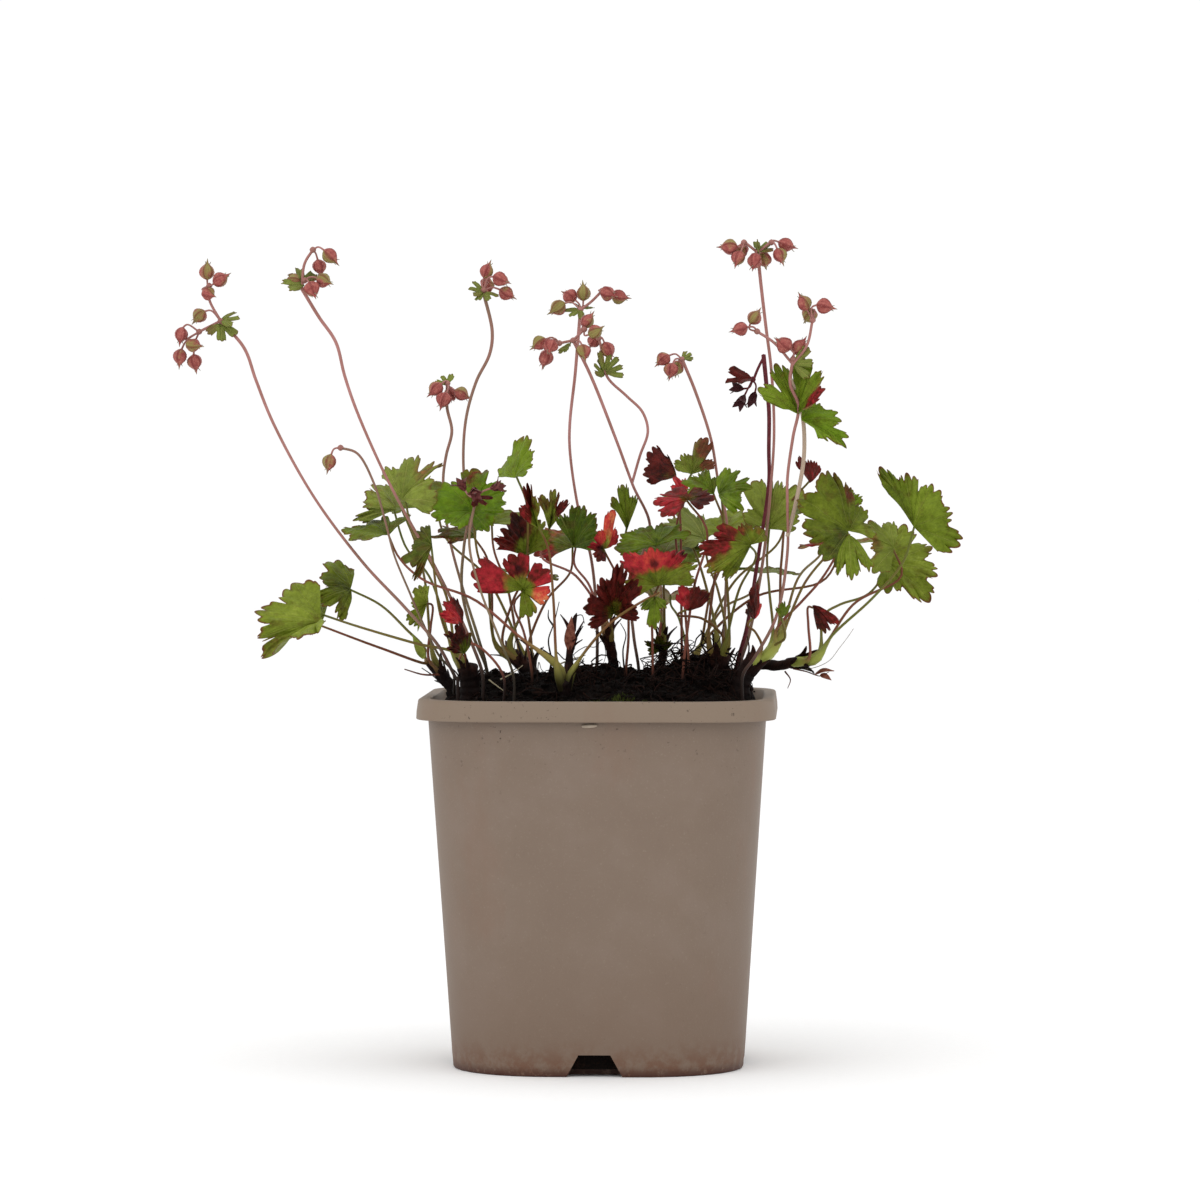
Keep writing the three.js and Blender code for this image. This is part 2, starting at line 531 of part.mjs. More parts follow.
function potSolid() {
  const middle = POT_HEIGHT / 2;
  const skirt = POT_HEIGHT - RIM_BAND;
  const lipUnder = POT_HEIGHT - 2 * ROUNDING;
  const lip = RIM_HALF - RIM_FLARE;
  const rings = [
    squareRing(FOOT_HALF - ROUNDING, FOOT_CORNER - ROUNDING, 0),
    squareRing(...bodyAt(ROUNDING), ROUNDING),
    squareRing(...bodyAt(middle), middle),
    squareRing(...bodyAt(lipUnder), lipUnder),
    squareRing(lip - RIM_WALL, RIM_CORNER - ROUNDING, lipUnder),
    squareRing(RIM_HALF - RIM_WALL, RIM_CORNER - ROUNDING, skirt),
    squareRing(RIM_HALF, RIM_CORNER, skirt),
    squareRing(lip, RIM_CORNER, POT_HEIGHT - ROUNDING),
    squareRing(lip - ROUNDING, RIM_CORNER - ROUNDING, POT_HEIGHT),
    squareRing(...bodyAt(POT_HEIGHT, WALL - ROUNDING), POT_HEIGHT),
    squareRing(...bodyAt(POT_HEIGHT - ROUNDING, WALL), POT_HEIGHT - ROUNDING),
    squareRing(...bodyAt(middle, WALL), middle),
    squareRing(...bodyAt(FLOOR, WALL), FLOOR),
  ];
  const outline = new THREE.Shape([
    new THREE.Vector2(-NOTCH.foot / 2, -1),
    new THREE.Vector2(NOTCH.foot / 2, -1),
    new THREE.Vector2(NOTCH.top / 2, NOTCH.height),
    new THREE.Vector2(-NOTCH.top / 2, NOTCH.height),
  ]);
  const cutters = [];
  for (let side = 0; side < 4; side += 1) {
    const notch = new THREE.ExtrudeGeometry(outline, { depth: 2 * NOTCH.depth, bevelEnabled: false });
    notch.rotateX(Math.PI / 2).translate(0, NOTCH.depth - FOOT_HALF, 0).rotateZ(side * (Math.PI / 2));
    const drain = new THREE.CylinderGeometry(DRAIN.radius, DRAIN.radius, 4 * FLOOR, DRAIN.sides);
    drain.rotateX(Math.PI / 2).translate(DRAIN.offset, DRAIN.offset, 0).rotateZ(side * (Math.PI / 2));
    cutters.push(notch, drain);
  }
  return cut(toSolid(loft(rings)), cutters);
}

// The peat's surface above its edge: a mound with a crest at the right and clods all over
function peatLift(x, y) {
  const mound = PEAT_RISE * (1 - (x * x + y * y) / 4200);
  const crest = 4 * Math.exp(-((x - 46) ** 2) / 260) * Math.exp(-(y * y) / 1800);
  const clods = 1.1 * Math.sin(x / 6 + 1) * Math.cos(y / 7) + 0.7 * Math.sin(x / 3.7 - y / 4.9);
  return Math.max(0, mound) + crest + clods;
}

function peatSolid(holes) {
  const rings = [FLOOR + PEAT_GAP, POT_HEIGHT / 2, PEAT_EDGE]
    .map((z) => squareRing(...bodyAt(z, WALL + PEAT_GAP), z));
  const [half, corner] = bodyAt(PEAT_EDGE, WALL + PEAT_GAP);
  for (const scale of PEAT_RINGS) {
    rings.push(squareRing(half * scale, corner * scale, PEAT_EDGE, peatLift));
  }
  return cut(toSolid(loft(rings)), holes);
}

// A closed tube along a route, its radius a function of the share of the way along
function tube(route, radiusAt, sides, steps) {
  const frames = route.computeFrenetFrames(steps, false);
  const rings = [];
  for (let s = 0; s <= steps; s += 1) {
    const centre = route.getPointAt(s / steps);
    const radius = radiusAt(s / steps);
    rings.push(Array.from({ length: sides }, (_, i) => {
      const angle = (i / sides) * 2 * Math.PI;
      return centre.clone()
        .addScaledVector(frames.normals[s], radius * Math.cos(angle))
        .addScaledVector(frames.binormals[s], radius * Math.sin(angle));
    }));
  }
  return loft(rings);
}

// Square axes at a blade: out along its tip, across it, and up from its upper side, roughly towards face
function flatAxes({ at, tip, face }) {
  const along = vector(tip).sub(vector(at));
  const reach = along.length();
  along.normalize();
  const up = vector(face).addScaledVector(along, -along.dot(vector(face))).normalize();
  return { along, up, across: up.clone().cross(along), reach };
}

// A blade's frame, by its place u in lobes from its first edge: lobe k has its rib at k + 0.5.
// out points from the petiole's end, up from the upper side, and both turn evenly from rib to rib.
function ribFrame({ at, tips }) {
  const ribs = tips.map((tip) => vector(tip).sub(vector(at)));
  const ways = ribs.map((rib) => rib.clone().normalize());
  const between = ways.slice(1).map((way, k) => ways[k].clone().cross(way).normalize());
  const ups = ways.map((_, k) => (
    (between[k - 1] ?? between[0]).clone().add(between[k] ?? between.at(-1)).normalize()
  ));
  const blend = (list, u) => {
    const place = THREE.MathUtils.clamp(u - 0.5, 0, list.length - 1);
    const k = Math.min(Math.floor(place), list.length - 2);
    return list[k].clone().lerp(list[k + 1], place - k).normalize();
  };
  const turnOn = (a, b) => Math.min(ways[a].angleTo(ways[b]), radians(END_LOBE_TURN));
  const last = ways.length - 1;
  const up = (u) => blend(ups, u);
  const out = (u) => {
    const before = Math.min(0, u - 0.5) * turnOn(0, 1);
    const after = Math.max(0, u - last - 0.5) * turnOn(last - 1, last);
    return blend(ways, u).applyAxisAngle(up(u), before + after);
  };
  const middle = ups.reduce((sum, one) => sum.add(one), new THREE.Vector3()).normalize();
  return { lengths: ribs.map((rib) => rib.length()), out, up, middle };
}

// A lobed blade: a fan of lobes round the petiole's end, each with a middle tooth and two side teeth.
// It is thickest over its ribs and thins to the margin, where both faces meet.
function blade(spec) {
  const { lengths, out, up, middle } = ribFrame(spec);
  const stations = [];
  const add = (u, distance, thick) => stations.push({ u, distance, thick }) - 1;
  const cleftAfter = (k) => (
    spec.cleft * ((lengths[k - 1] ?? lengths[k]) + (lengths[k] ?? lengths[k - 1])) / 2
  );
  const hub = add(0, 0, true);
  const faces = [];
  const firstCleft = add(0, cleftAfter(0), false);
  let cleft = firstCleft;
  lengths.forEach((length, k) => {
    const rib = add(k + 0.5, RIB * length, true);
    const first = add(k + 0.5 - TOOTH_SPREAD, TOOTH * length, false);
    const tip = add(k + 0.5, length, false);
    const second = add(k + 0.5 + TOOTH_SPREAD, TOOTH * length, false);
    const next = add(k + 1, cleftAfter(k + 1), false);
    faces.push([hub, cleft, rib], [hub, rib, next], [cleft, first, rib], [rib, first, tip],
      [rib, tip, second], [rib, second, next]);
    cleft = next;
  });
  const place = ({ u, distance, thick }, side) => {
    const ridge = 2 * Math.abs(u - Math.floor(u) - 0.5) * RIDGE * distance;
    return vector(spec.at)
      .addScaledVector(out(u), distance)
      .addScaledVector(up(u), ridge)
      .addScaledVector(distance > 0 ? up(u) : middle, thick ? side * BLADE_THICKNESS / 2 : 0);
  };
  const points = stations.map((station) => place(station, 1));
  const under = stations.map((station, i) => (station.thick ? points.push(place(station, -1)) - 1 : i));
  const index = faces.flatMap(([a, b, c]) => [a, b, c, under[a], under[c], under[b]]);
  index.push(firstCleft, hub, under[hub], hub, cleft, under[hub]);
  return shell(points, index);
}

// A leaf's petiole from its foot, rising and then leaning in to the blade from below
function petioleRoute(spec, foot, rise) {
  const { lengths, out, middle } = ribFrame(spec);
  const rib = Math.floor((lengths.length - 1) / 2);
  const along = out(rib + 0.5);
  const end = vector(spec.at).addScaledVector(along, PETIOLE.grip * lengths[rib]);
  const route = [...foot, ...spec.via];
  if (spec.via.length === 0) {
    const start = vector(foot.at(-1));
    const span = start.distanceTo(end);
    const lean = vector(spec.at).addScaledVector(middle, -0.16 * span).addScaledVector(along, -0.14 * span);
    const knee = start.clone().lerp(lean, 0.45);
    knee.z += rise * span;
    route.push(knee.toArray(), lean.toArray());
  }
  return smoothRoute([...route, end.toArray()]);
}

function petiole(spec, foot, rise = 0.12) {
  const route = petioleRoute(spec, foot, rise);
  const steps = 4 + spec.via.length;
  const radiusAt = (t) => {
    if (t < SHEATH.share) return SHEATH.radius;
    return t < 1 ? lerp(PETIOLE.foot, PETIOLE.tip, t) : PETIOLE.end;
  };
  return tube(route, radiusAt, STALK_SIDES, steps);
}

function rhizomeTube({ rhizome, thickness }) {
  const radiusAt = (t) => thickness * (t < 1 ? 1 - RHIZOME.swell * Math.cos(9 * t) : RHIZOME.top);
  return tube(smoothRoute(rhizome), radiusAt, RHIZOME.sides, rhizome.length + 1);
}

// The upright stretch of a stem that stands in the peat
const rooted = ([x, y]) => [[x, y, ROOT_TOP], [x, y, (ROOT_TOP + ROOT_FOOT) / 2], [x, y, ROOT_FOOT]];

// The plain upright hole round it, wide enough for the stem's corners to stay clear of its flats
function hole([x, y], radius, sides) {
  const corner = (radius + HOLE_GAP) / Math.cos(Math.PI / sides);
  const drill = new THREE.CylinderGeometry(corner, corner, HOLE_TOP - HOLE_FOOT, sides);
  return drill.rotateX(Math.PI / 2).translate(x, y, (HOLE_TOP + HOLE_FOOT) / 2);
}

function crownSolid(crown) {
  const top = vector(crown.rhizome.at(-1));
  const below = vector(crown.rhizome.at(-2));
  const axis = top.clone().sub(below).normalize();
  const parts = [rhizomeTube(crown)];
  crown.leaves.forEach((spec, i) => {
    const aim = vector(spec.at).sub(top).setZ(0).normalize();
    aim.applyAxisAngle(new THREE.Vector3(0, 0, 1), ((i % 3) - 1) * 0.6);
    const root = top.clone().addScaledVector(axis, -3).addScaledVector(aim, 0.35 * crown.thickness);
    const neck = top.clone().addScaledVector(axis, 4 + (i % 2)).addScaledVector(aim, crown.thickness);
    parts.push(petiole(spec, [root.toArray(), neck.toArray()]), blade(spec));
  });
  return fuse(parts);
}

// A pedicel from the stem, bending into the axis of the inflated calyx that it ends in
function budTube(from, [at, aim]) {
  const axis = vector(aim).sub(vector(at)).normalize();
  const start = vector(from);
  const foot = vector(at).addScaledVector(axis, -CALYX_REACH);
  const bend = foot.clone().addScaledVector(axis, -2.2).lerp(start, 0.25);
  const side = bend.clone().sub(start).cross(axis);
  if (side.length() < 0.01) side.set(0.31, 0.17, 0.93).cross(axis);
  side.normalize();
  const stations = [
    [start, bend.clone().sub(start).normalize(), PEDICEL_RADIUS],
    [bend, foot.clone().sub(start).normalize(), PEDICEL_RADIUS],
    ...CALYX_PROFILE.map(([distance, radius]) => (
      [foot.clone().addScaledVector(axis, distance), axis, radius]
    )),
  ];
  const rings = stations.map(([centre, tangent, radius]) => {
    const other = tangent.clone().cross(side);
    return Array.from({ length: CALYX_SIDES }, (_, i) => {
      const angle = (i / CALYX_SIDES) * 2 * Math.PI;
      return centre.clone()
        .addScaledVector(side, radius * Math.cos(angle))
        .addScaledVector(other, radius * Math.sin(angle));
    });
  });
  return loft(rings, foot.clone().addScaledVector(axis, CALYX_LENGTH));
}

// A bract too small to be lobed: a pointed lens half as wide as it is long
function bractLens(spec) {
  const { along, up, across, reach } = flatAxes(spec);
  const lens = new THREE.OctahedronGeometry(1, 0).scale(reach / 2, reach / 4, BLADE_THICKNESS / 2);
  const middle = vector(spec.at).addScaledVector(along, reach / 2 - BRACT_SUNK);
  return lens.applyMatrix4(new THREE.Matrix4().makeBasis(along, across, up).setPosition(middle));
}

function flowerSolid({ route, foot, branches, heads, bracts, leaves = [] }) {
  const radiusAt = (t) => lerp(STEM.tip, STEM.foot, t);
  const whole = [...route, ...rooted(foot)];
  const parts = [tube(smoothRoute(whole), radiusAt, STALK_SIDES, whole.length)];
  for (const branch of branches) {
    parts.push(tube(smoothRoute(branch), () => BRANCH_RADIUS, STALK_SIDES, branch.length));
  }
  for (const { from, buds } of heads) {
    parts.push(new THREE.OctahedronGeometry(NODE_RADIUS, 0).translate(...from));
    buds.forEach((one) => parts.push(budTube(from, one)));
  }
  return fuse([...parts, ...bracts.map(bractLens), ...leaves.map(blade)]);
}

const group = new THREE.Group();

function addPart(name, solid, finish) {
  const material = new THREE.MeshStandardMaterial({ ...finish, metalness: 0 });
  const mesh = new THREE.Mesh(toGeometry(solid), material);
  mesh.name = name;
  group.add(mesh);
}

const stems = [...Object.values(FLOWER_STEMS), DEAD_STEM];
const holes = [
  ...Object.values(CROWNS).map(({ rhizome, thickness }) => (
    hole(rhizome[0], (1 + RHIZOME.swell) * thickness, RHIZOME.sides)
  )),
  ...Object.values(RED_LEAVES).map(({ foot }) => hole(foot, SHEATH.radius, STALK_SIDES)),
  ...stems.map(({ foot }) => hole(foot, STEM.foot, STALK_SIDES)),
];

addPart('pot', potSolid(), COLOURS.pot);
addPart('peat', peatSolid(holes), COLOURS.peat);
for (const [letter, crown] of Object.entries(CROWNS)) {
  addPart(`crown_${letter}`, crownSolid(crown), COLOURS.green);
}
for (const [letter, spec] of Object.entries(RED_LEAVES)) {
  const stalk = petiole(spec, rooted(spec.foot).reverse());
  addPart(`red_leaf_${letter}`, fuse([stalk, blade(spec)]), COLOURS.red);
}
for (const [letter, stem] of Object.entries(FLOWER_STEMS)) {
  addPart(`flower_stem_${letter}`, flowerSolid(stem), COLOURS.stem);
}
addPart('dead_stem', flowerSolid(DEAD_STEM), COLOURS.maroon);

export default group;
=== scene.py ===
"""Potted cranesbill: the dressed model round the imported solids.

Lengths are millimetres in the tables and in the surface code, and become metres when a mesh is made.
The origin is the middle of the pot's foot, +Z is up and -Y is the side that faces the viewer.
"""

import logging
import math
from dataclasses import dataclass, field
from enum import Enum
from functools import cached_property, partial

import bpy
import numpy as np
from bpy.types import Material, NodeSocket, NodeTree
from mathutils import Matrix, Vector

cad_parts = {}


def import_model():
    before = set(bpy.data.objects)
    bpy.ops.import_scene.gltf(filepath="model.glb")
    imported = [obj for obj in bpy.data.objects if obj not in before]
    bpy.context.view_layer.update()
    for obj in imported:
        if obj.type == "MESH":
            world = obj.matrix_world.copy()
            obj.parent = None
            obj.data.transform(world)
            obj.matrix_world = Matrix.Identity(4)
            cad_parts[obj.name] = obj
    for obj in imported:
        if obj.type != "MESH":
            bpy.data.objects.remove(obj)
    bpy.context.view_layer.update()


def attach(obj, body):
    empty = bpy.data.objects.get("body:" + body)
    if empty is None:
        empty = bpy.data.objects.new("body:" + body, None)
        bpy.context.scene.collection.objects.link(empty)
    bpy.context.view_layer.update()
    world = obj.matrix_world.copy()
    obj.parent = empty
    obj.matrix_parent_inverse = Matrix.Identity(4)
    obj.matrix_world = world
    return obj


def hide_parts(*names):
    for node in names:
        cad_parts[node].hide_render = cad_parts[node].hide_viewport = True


LOG = logging.getLogger("cranesbill")
MM = 0.001
BODY = "root"
Array = np.ndarray
Point = tuple[float, float, float]
Route = list[Point]
array = partial(np.asarray, dtype=float)


# Numbers and vectors


def draw(seed: float | Array, index: float | Array) -> float | Array:
    """A repeatable draw from 0 to 1: the fraction of a large sine of both numbers.

    Args:
        seed: Which thing the draw is for.
        index: Which of its draws.
    Returns:
        The draw, of the arguments' common shape.
    """
    wave = np.sin(array(seed) * 12.9898 + array(index) * 78.233) * 43758.5453
    return wave - np.floor(wave)


def smoothstep(low: float, high: float, value: Array) -> Array:
    """A smooth rise from 0 at low to 1 at high, by 3t squared less 2t cubed.

    Args:
        low: Where the rise starts.
        high: Where it ends.
        value: Where it is wanted.
    Returns:
        The rise at each value.
    """
    t = np.clip((value - low) / (high - low), 0, 1)
    return t * t * (3 - 2 * t)


def unit(vectors: Array) -> Array:
    """Vectors along the last axis, each divided by its length."""
    return vectors / np.maximum(np.linalg.norm(vectors, axis=-1, keepdims=True), 1e-9)


def across(axis: Array, reference: Point) -> tuple[Array, Array]:
    """Two directions square to an axis and to each other, the first also square to the reference."""
    side = unit(np.cross(axis, reference))
    return side, np.cross(axis, side)


def turned_by(side: Array, other: Array, angle: float | Array) -> Array:
    """The ways at some angles round an axis: side times the cosine plus other times the sine."""
    angle = array(angle)[..., None]
    return side * np.cos(angle) + other * np.sin(angle)


def smooth_route(points: Route | list[Array], count: int) -> Array:
    """Even points along the centripetal Catmull-Rom curve through some points.

    Each stretch is a cubic in t from 0 to 1. Its end slopes are those of the circle-like arcs through each
    three neighbouring points, with knots spaced by the square root of the distance. The ends are extended
    straight.

    Args:
        points: What the curve passes through.
        count: How many points are wanted.
    Returns:
        An array of count by 3.
    """
    knots = array(points)
    knots = np.vstack([2 * knots[0] - knots[1], knots, 2 * knots[-1] - knots[-2]])
    gap = np.sqrt(np.maximum(np.linalg.norm(np.diff(knots, axis=0), axis=1), 1e-4))[:, None]
    before, start, end, after = knots[:-3], knots[1:-2], knots[2:-1], knots[3:]
    g0, g1, g2 = gap[:-2], gap[1:-1], gap[2:]
    leaving = g1 * ((start - before) / g0 - (end - before) / (g0 + g1) + (end - start) / g1)
    arriving = g1 * ((end - start) / g1 - (after - start) / (g1 + g2) + (after - end) / g2)
    t = np.linspace(0, 1, 24, endpoint=False)[:, None, None]
    curve = (
        start + leaving * t + (3 * (end - start) - 2 * leaving - arriving) * t**2
        + (2 * (start - end) + leaving + arriving) * t**3
    )
    dense = np.vstack([curve.transpose(1, 0, 2).reshape(-1, 3), knots[-2]])
    length = np.concatenate([[0], np.cumsum(np.linalg.norm(np.diff(dense, axis=0), axis=1))])
    even = np.linspace(0, length[-1], count)
    return np.stack([np.interp(even, length, dense[:, k]) for k in range(3)], axis=1)


# Surfaces


@dataclass
class Surface:
    """A closed surface: its points, its faces, and numbers that its material reads at each point."""

    points: Array
    quads: Array
    triangles: Array
    marks: dict[str, Array] = field(default_factory=dict)

    def marked(self, **marks: float | Array) -> "Surface":
        """The same surface with more marks, each one number or one for each point.

        Args:
            **marks: The marks by name.
        Returns:
            The surface itself.
        """
        for name, value in marks.items():
            self.marks[name] = np.broadcast_to(array(value), len(self.points)).copy()
        return self


def loft(rings: Array, first: Array, last: Array) -> Surface:
    """A closed surface through rings of points, with a fan to one point at each end.

    Args:
        rings: Rings by points by 3, each ring turning anticlockwise as seen from the end it runs to.
        first: The point that closes the first ring.
        last: The point that closes the last ring.
    Returns:
        The surface; its points are the rings in order, then first and last.
    """
    count, around = rings.shape[:2]
    ids = np.arange(count * around).reshape(count, around)
    turned = np.roll(ids, -1, axis=1)
    quads = np.stack([ids[:-1], turned[:-1], turned[1:], ids[1:]], axis=-1).reshape(-1, 4)
    tail = count * around
    foot = np.stack([np.full(around, tail), turned[0], ids[0]], axis=-1)
    head = np.stack([np.full(around, tail + 1), ids[-1], turned[-1]], axis=-1)
    return Surface(np.vstack([rings.reshape(-1, 3), first, last]), quads, np.vstack([foot, head]))


def path_frames(route: Array) -> tuple[Array, Array, Array]:
    """Three square directions at each point of a path: along it, and two across it.

    The first across is the path's direction crossed with the world axis that it stays furthest from.

    Args:
        route: The path, points by 3.
    Returns:
        Along, the first across and the second, each points by 3.
    """
    along = unit(np.gradient(route, axis=0))
    reference = np.eye(3)[np.argmin(np.abs(along).max(axis=0))]
    side = unit(np.cross(along, reference))
    return along, side, np.cross(along, side)


def tube(route: Array, radii: Array | float, sides: int = 8, blunt: float = 0.4) -> Surface:
    """A tube: a circle of the given radius carried along a path and closed at both ends.

    Args:
        route: The path, points by 3.
        radii: The radius at each of its points, or one for all.
        sides: How many points the circle has.
        blunt: How far each end stands out, as a share of the radius there.
    Returns:
        The surface, marked with rise, the share of the way along.
    """
    along, side, other = path_frames(route)
    radii = np.broadcast_to(array(radii), len(route))
    angle = np.linspace(0, 2 * np.pi, sides, endpoint=False)
    rings = route[:, None] + radii[:, None, None] * turned_by(side[:, None], other[:, None], angle)
    first = route[0] - along[0] * radii[0] * blunt
    last = route[-1] + along[-1] * radii[-1] * blunt
    rise = np.append(np.repeat(np.linspace(0, 1, len(route)), sides), [0, 1])
    return loft(rings, first, last).marked(rise=rise)


def hairs(roots: Array, ways: Array, length: float, seed: float, radius: float = 0.045) -> Surface:
    """Fine hairs, each a closed tetrahedron that stands on a small triangle round its root.

    Args:
        roots: Where they stand, points by 3.
        ways: Which way each points.
        length: How long the longest is.
        seed: For their draws.
        radius: How thick they are at the root.
    Returns:
        The surface.
    """
    number = np.arange(len(roots))
    ways = unit(ways + 0.7 * (draw(seed, np.arange(3)[None] * 97 + number[:, None]) - 0.5))
    side, other = across(ways, (0.23, 0.31, 0.92))
    tips = roots + ways * (length * (0.5 + 0.5 * draw(seed + 1, number)))[:, None]
    base = [roots + radius * turned_by(side, other, 2 * np.pi * k / 3) for k in range(3)]
    points = np.stack([*base, tips], axis=1).reshape(-1, 3)
    faces = np.array([[0, 2, 1], [0, 1, 3], [1, 2, 3], [2, 0, 3]])
    triangles = (faces[None] + 4 * number[:, None, None]).reshape(-1, 3)
    return Surface(points, np.zeros((0, 4), int), triangles)


class Sheaf:
    """Closed surfaces that are gathered into one mesh object."""

    def __init__(self, name: str, *surfaces: Surface) -> None:
        """A sheaf that will make an object of that name."""
        self.name = name
        self.surfaces = list(surfaces)

    def add(self, *surfaces: Surface) -> None:
        """Takes in some surfaces."""
        self.surfaces.extend(surfaces)

    def make(self, material: Material, slot: str, nodes: list[str]) -> bpy.types.Object:
        """Makes the object, rides it on the body, hides the CAD nodes that it replaces and logs its faces.

        Args:
            material: Its finish.
            slot: Not used.
            nodes: The CAD nodes that it replaces.
        Returns:
            The new object, at the origin, with its place in its mesh.
        """
        starts = np.cumsum([0] + [len(s.points) for s in self.surfaces])
        points = np.vstack([s.points for s in self.surfaces]) * MM
        quads = np.vstack([s.quads + o for s, o in zip(self.surfaces, starts)])
        triangles = np.vstack([s.triangles + o for s, o in zip(self.surfaces, starts)])
        mesh = bpy.data.meshes.new(self.name)
        mesh.vertices.add(len(points))
        mesh.vertices.foreach_set("co", points.astype(np.float32).ravel())
        mesh.loops.add(quads.size + triangles.size)
        corners = np.concatenate([quads.ravel(), triangles.ravel()]).astype(np.int32)
        mesh.loops.foreach_set("vertex_index", corners)
        mesh.polygons.add(len(quads) + len(triangles))
        begins = [np.arange(len(quads)) * 4, quads.size + np.arange(len(triangles)) * 3]
        mesh.polygons.foreach_set("loop_start", np.concatenate(begins).astype(np.int32))
        mesh.update(calc_edges=True)
        mesh.polygons.foreach_set("use_smooth", np.ones(len(mesh.polygons), bool))
        mesh.set_sharp_from_angle(angle=math.radians(62))
        for mark in sorted({m for s in self.surfaces for m in s.marks}):
            values = [s.marks.get(mark, np.zeros(len(s.points))) for s in self.surfaces]
            layer = mesh.attributes.new(mark, "FLOAT", "POINT")
            layer.data.foreach_set("value", np.concatenate(values).astype(np.float32))
        mesh.materials.append(material)
        piece = bpy.data.objects.new(self.name, mesh)
        bpy.context.scene.collection.objects.link(piece)
        return dressed(piece, nodes)


def dressed(piece: bpy.types.Object, nodes: list[str]) -> bpy.types.Object:
    """Rides a piece on the body and what it replaces, and reports it.

    Args:
        piece: The piece.
        nodes: The CAD nodes that it replaces.
    Returns:
        The piece.
    """
    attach(piece, BODY)
    if nodes:
        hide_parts(*nodes)
    LOG.info("%s: %d faces", piece.name, len(piece.data.polygons))
    return piece


# Node trees


def linear(code: str) -> tuple[float, float, float, float]:
    """The linear colour of an sRGB hex code, by the standard's power curve with its straight foot.

    Args:
        code: A hash and six digits.
    Returns:
        Red, green, blue and 1.
    """
    channels = [int(code[i:i + 2], 16) / 255 for i in (1, 3, 5)]
    curve = [c / 12.92 if c <= 0.04045 else ((c + 0.055) / 1.055) ** 2.4 for c in channels]
    return curve[0], curve[1], curve[2], 1.0


def add(
    tree: NodeTree, kind: str, inputs: dict | tuple = (), out: int | str = 0,
    stops: dict[float, str] | None = None, **settings: object,
) -> NodeSocket | None:
    """Adds a node with its settings and its links.

    Args:
        tree: Where to.
        kind: The node's type name, less its first word, ShaderNode.
        inputs: Its inputs in order, or by name or number: another node's output, an sRGB hex code or a value.
        out: Which of its outputs is wanted.
        stops: A colour ramp's hex codes by their places.
        **settings: Attributes of the node.
    Returns:
        That output, or None from a node that has none.
    """
    node = tree.nodes.new("ShaderNode" + kind)
    for name, value in settings.items():
        setattr(node, name, value)
    for key, value in inputs.items() if isinstance(inputs, dict) else enumerate(inputs):
        if isinstance(value, NodeSocket):
            tree.links.new(value, node.inputs[key])
        else:
            node.inputs[key].default_value = linear(value) if isinstance(value, str) else value
    for place, code in (stops or {}).items():
        elements = node.color_ramp.elements
        element = elements[-int(place)] if place in (0.0, 1.0) else elements.new(place)
        element.color = linear(code)
    return node.outputs[out] if node.outputs else None


# Finishes


@dataclass(frozen=True)
class Finish:
    """A finish, named for the real material, whose shader method gives its nodes."""

    name: str

    def shader(self, node: partial) -> NodeSocket:
        """Adds the finish's nodes.

        Args:
            node: The call that adds one node to the material's tree.
        Returns:
            The shader's output.
        """
        raise NotImplementedError

    def material(self) -> Material:
        """A new material with the finish's shader at its output.

        Returns:
            The material.
        """
        material = bpy.data.materials.new(self.name)
        material.use_nodes = True
        material.node_tree.nodes.clear()
        node = partial(add, material.node_tree)
        node("OutputMaterial", {"Surface": self.shader(node)})
        return material


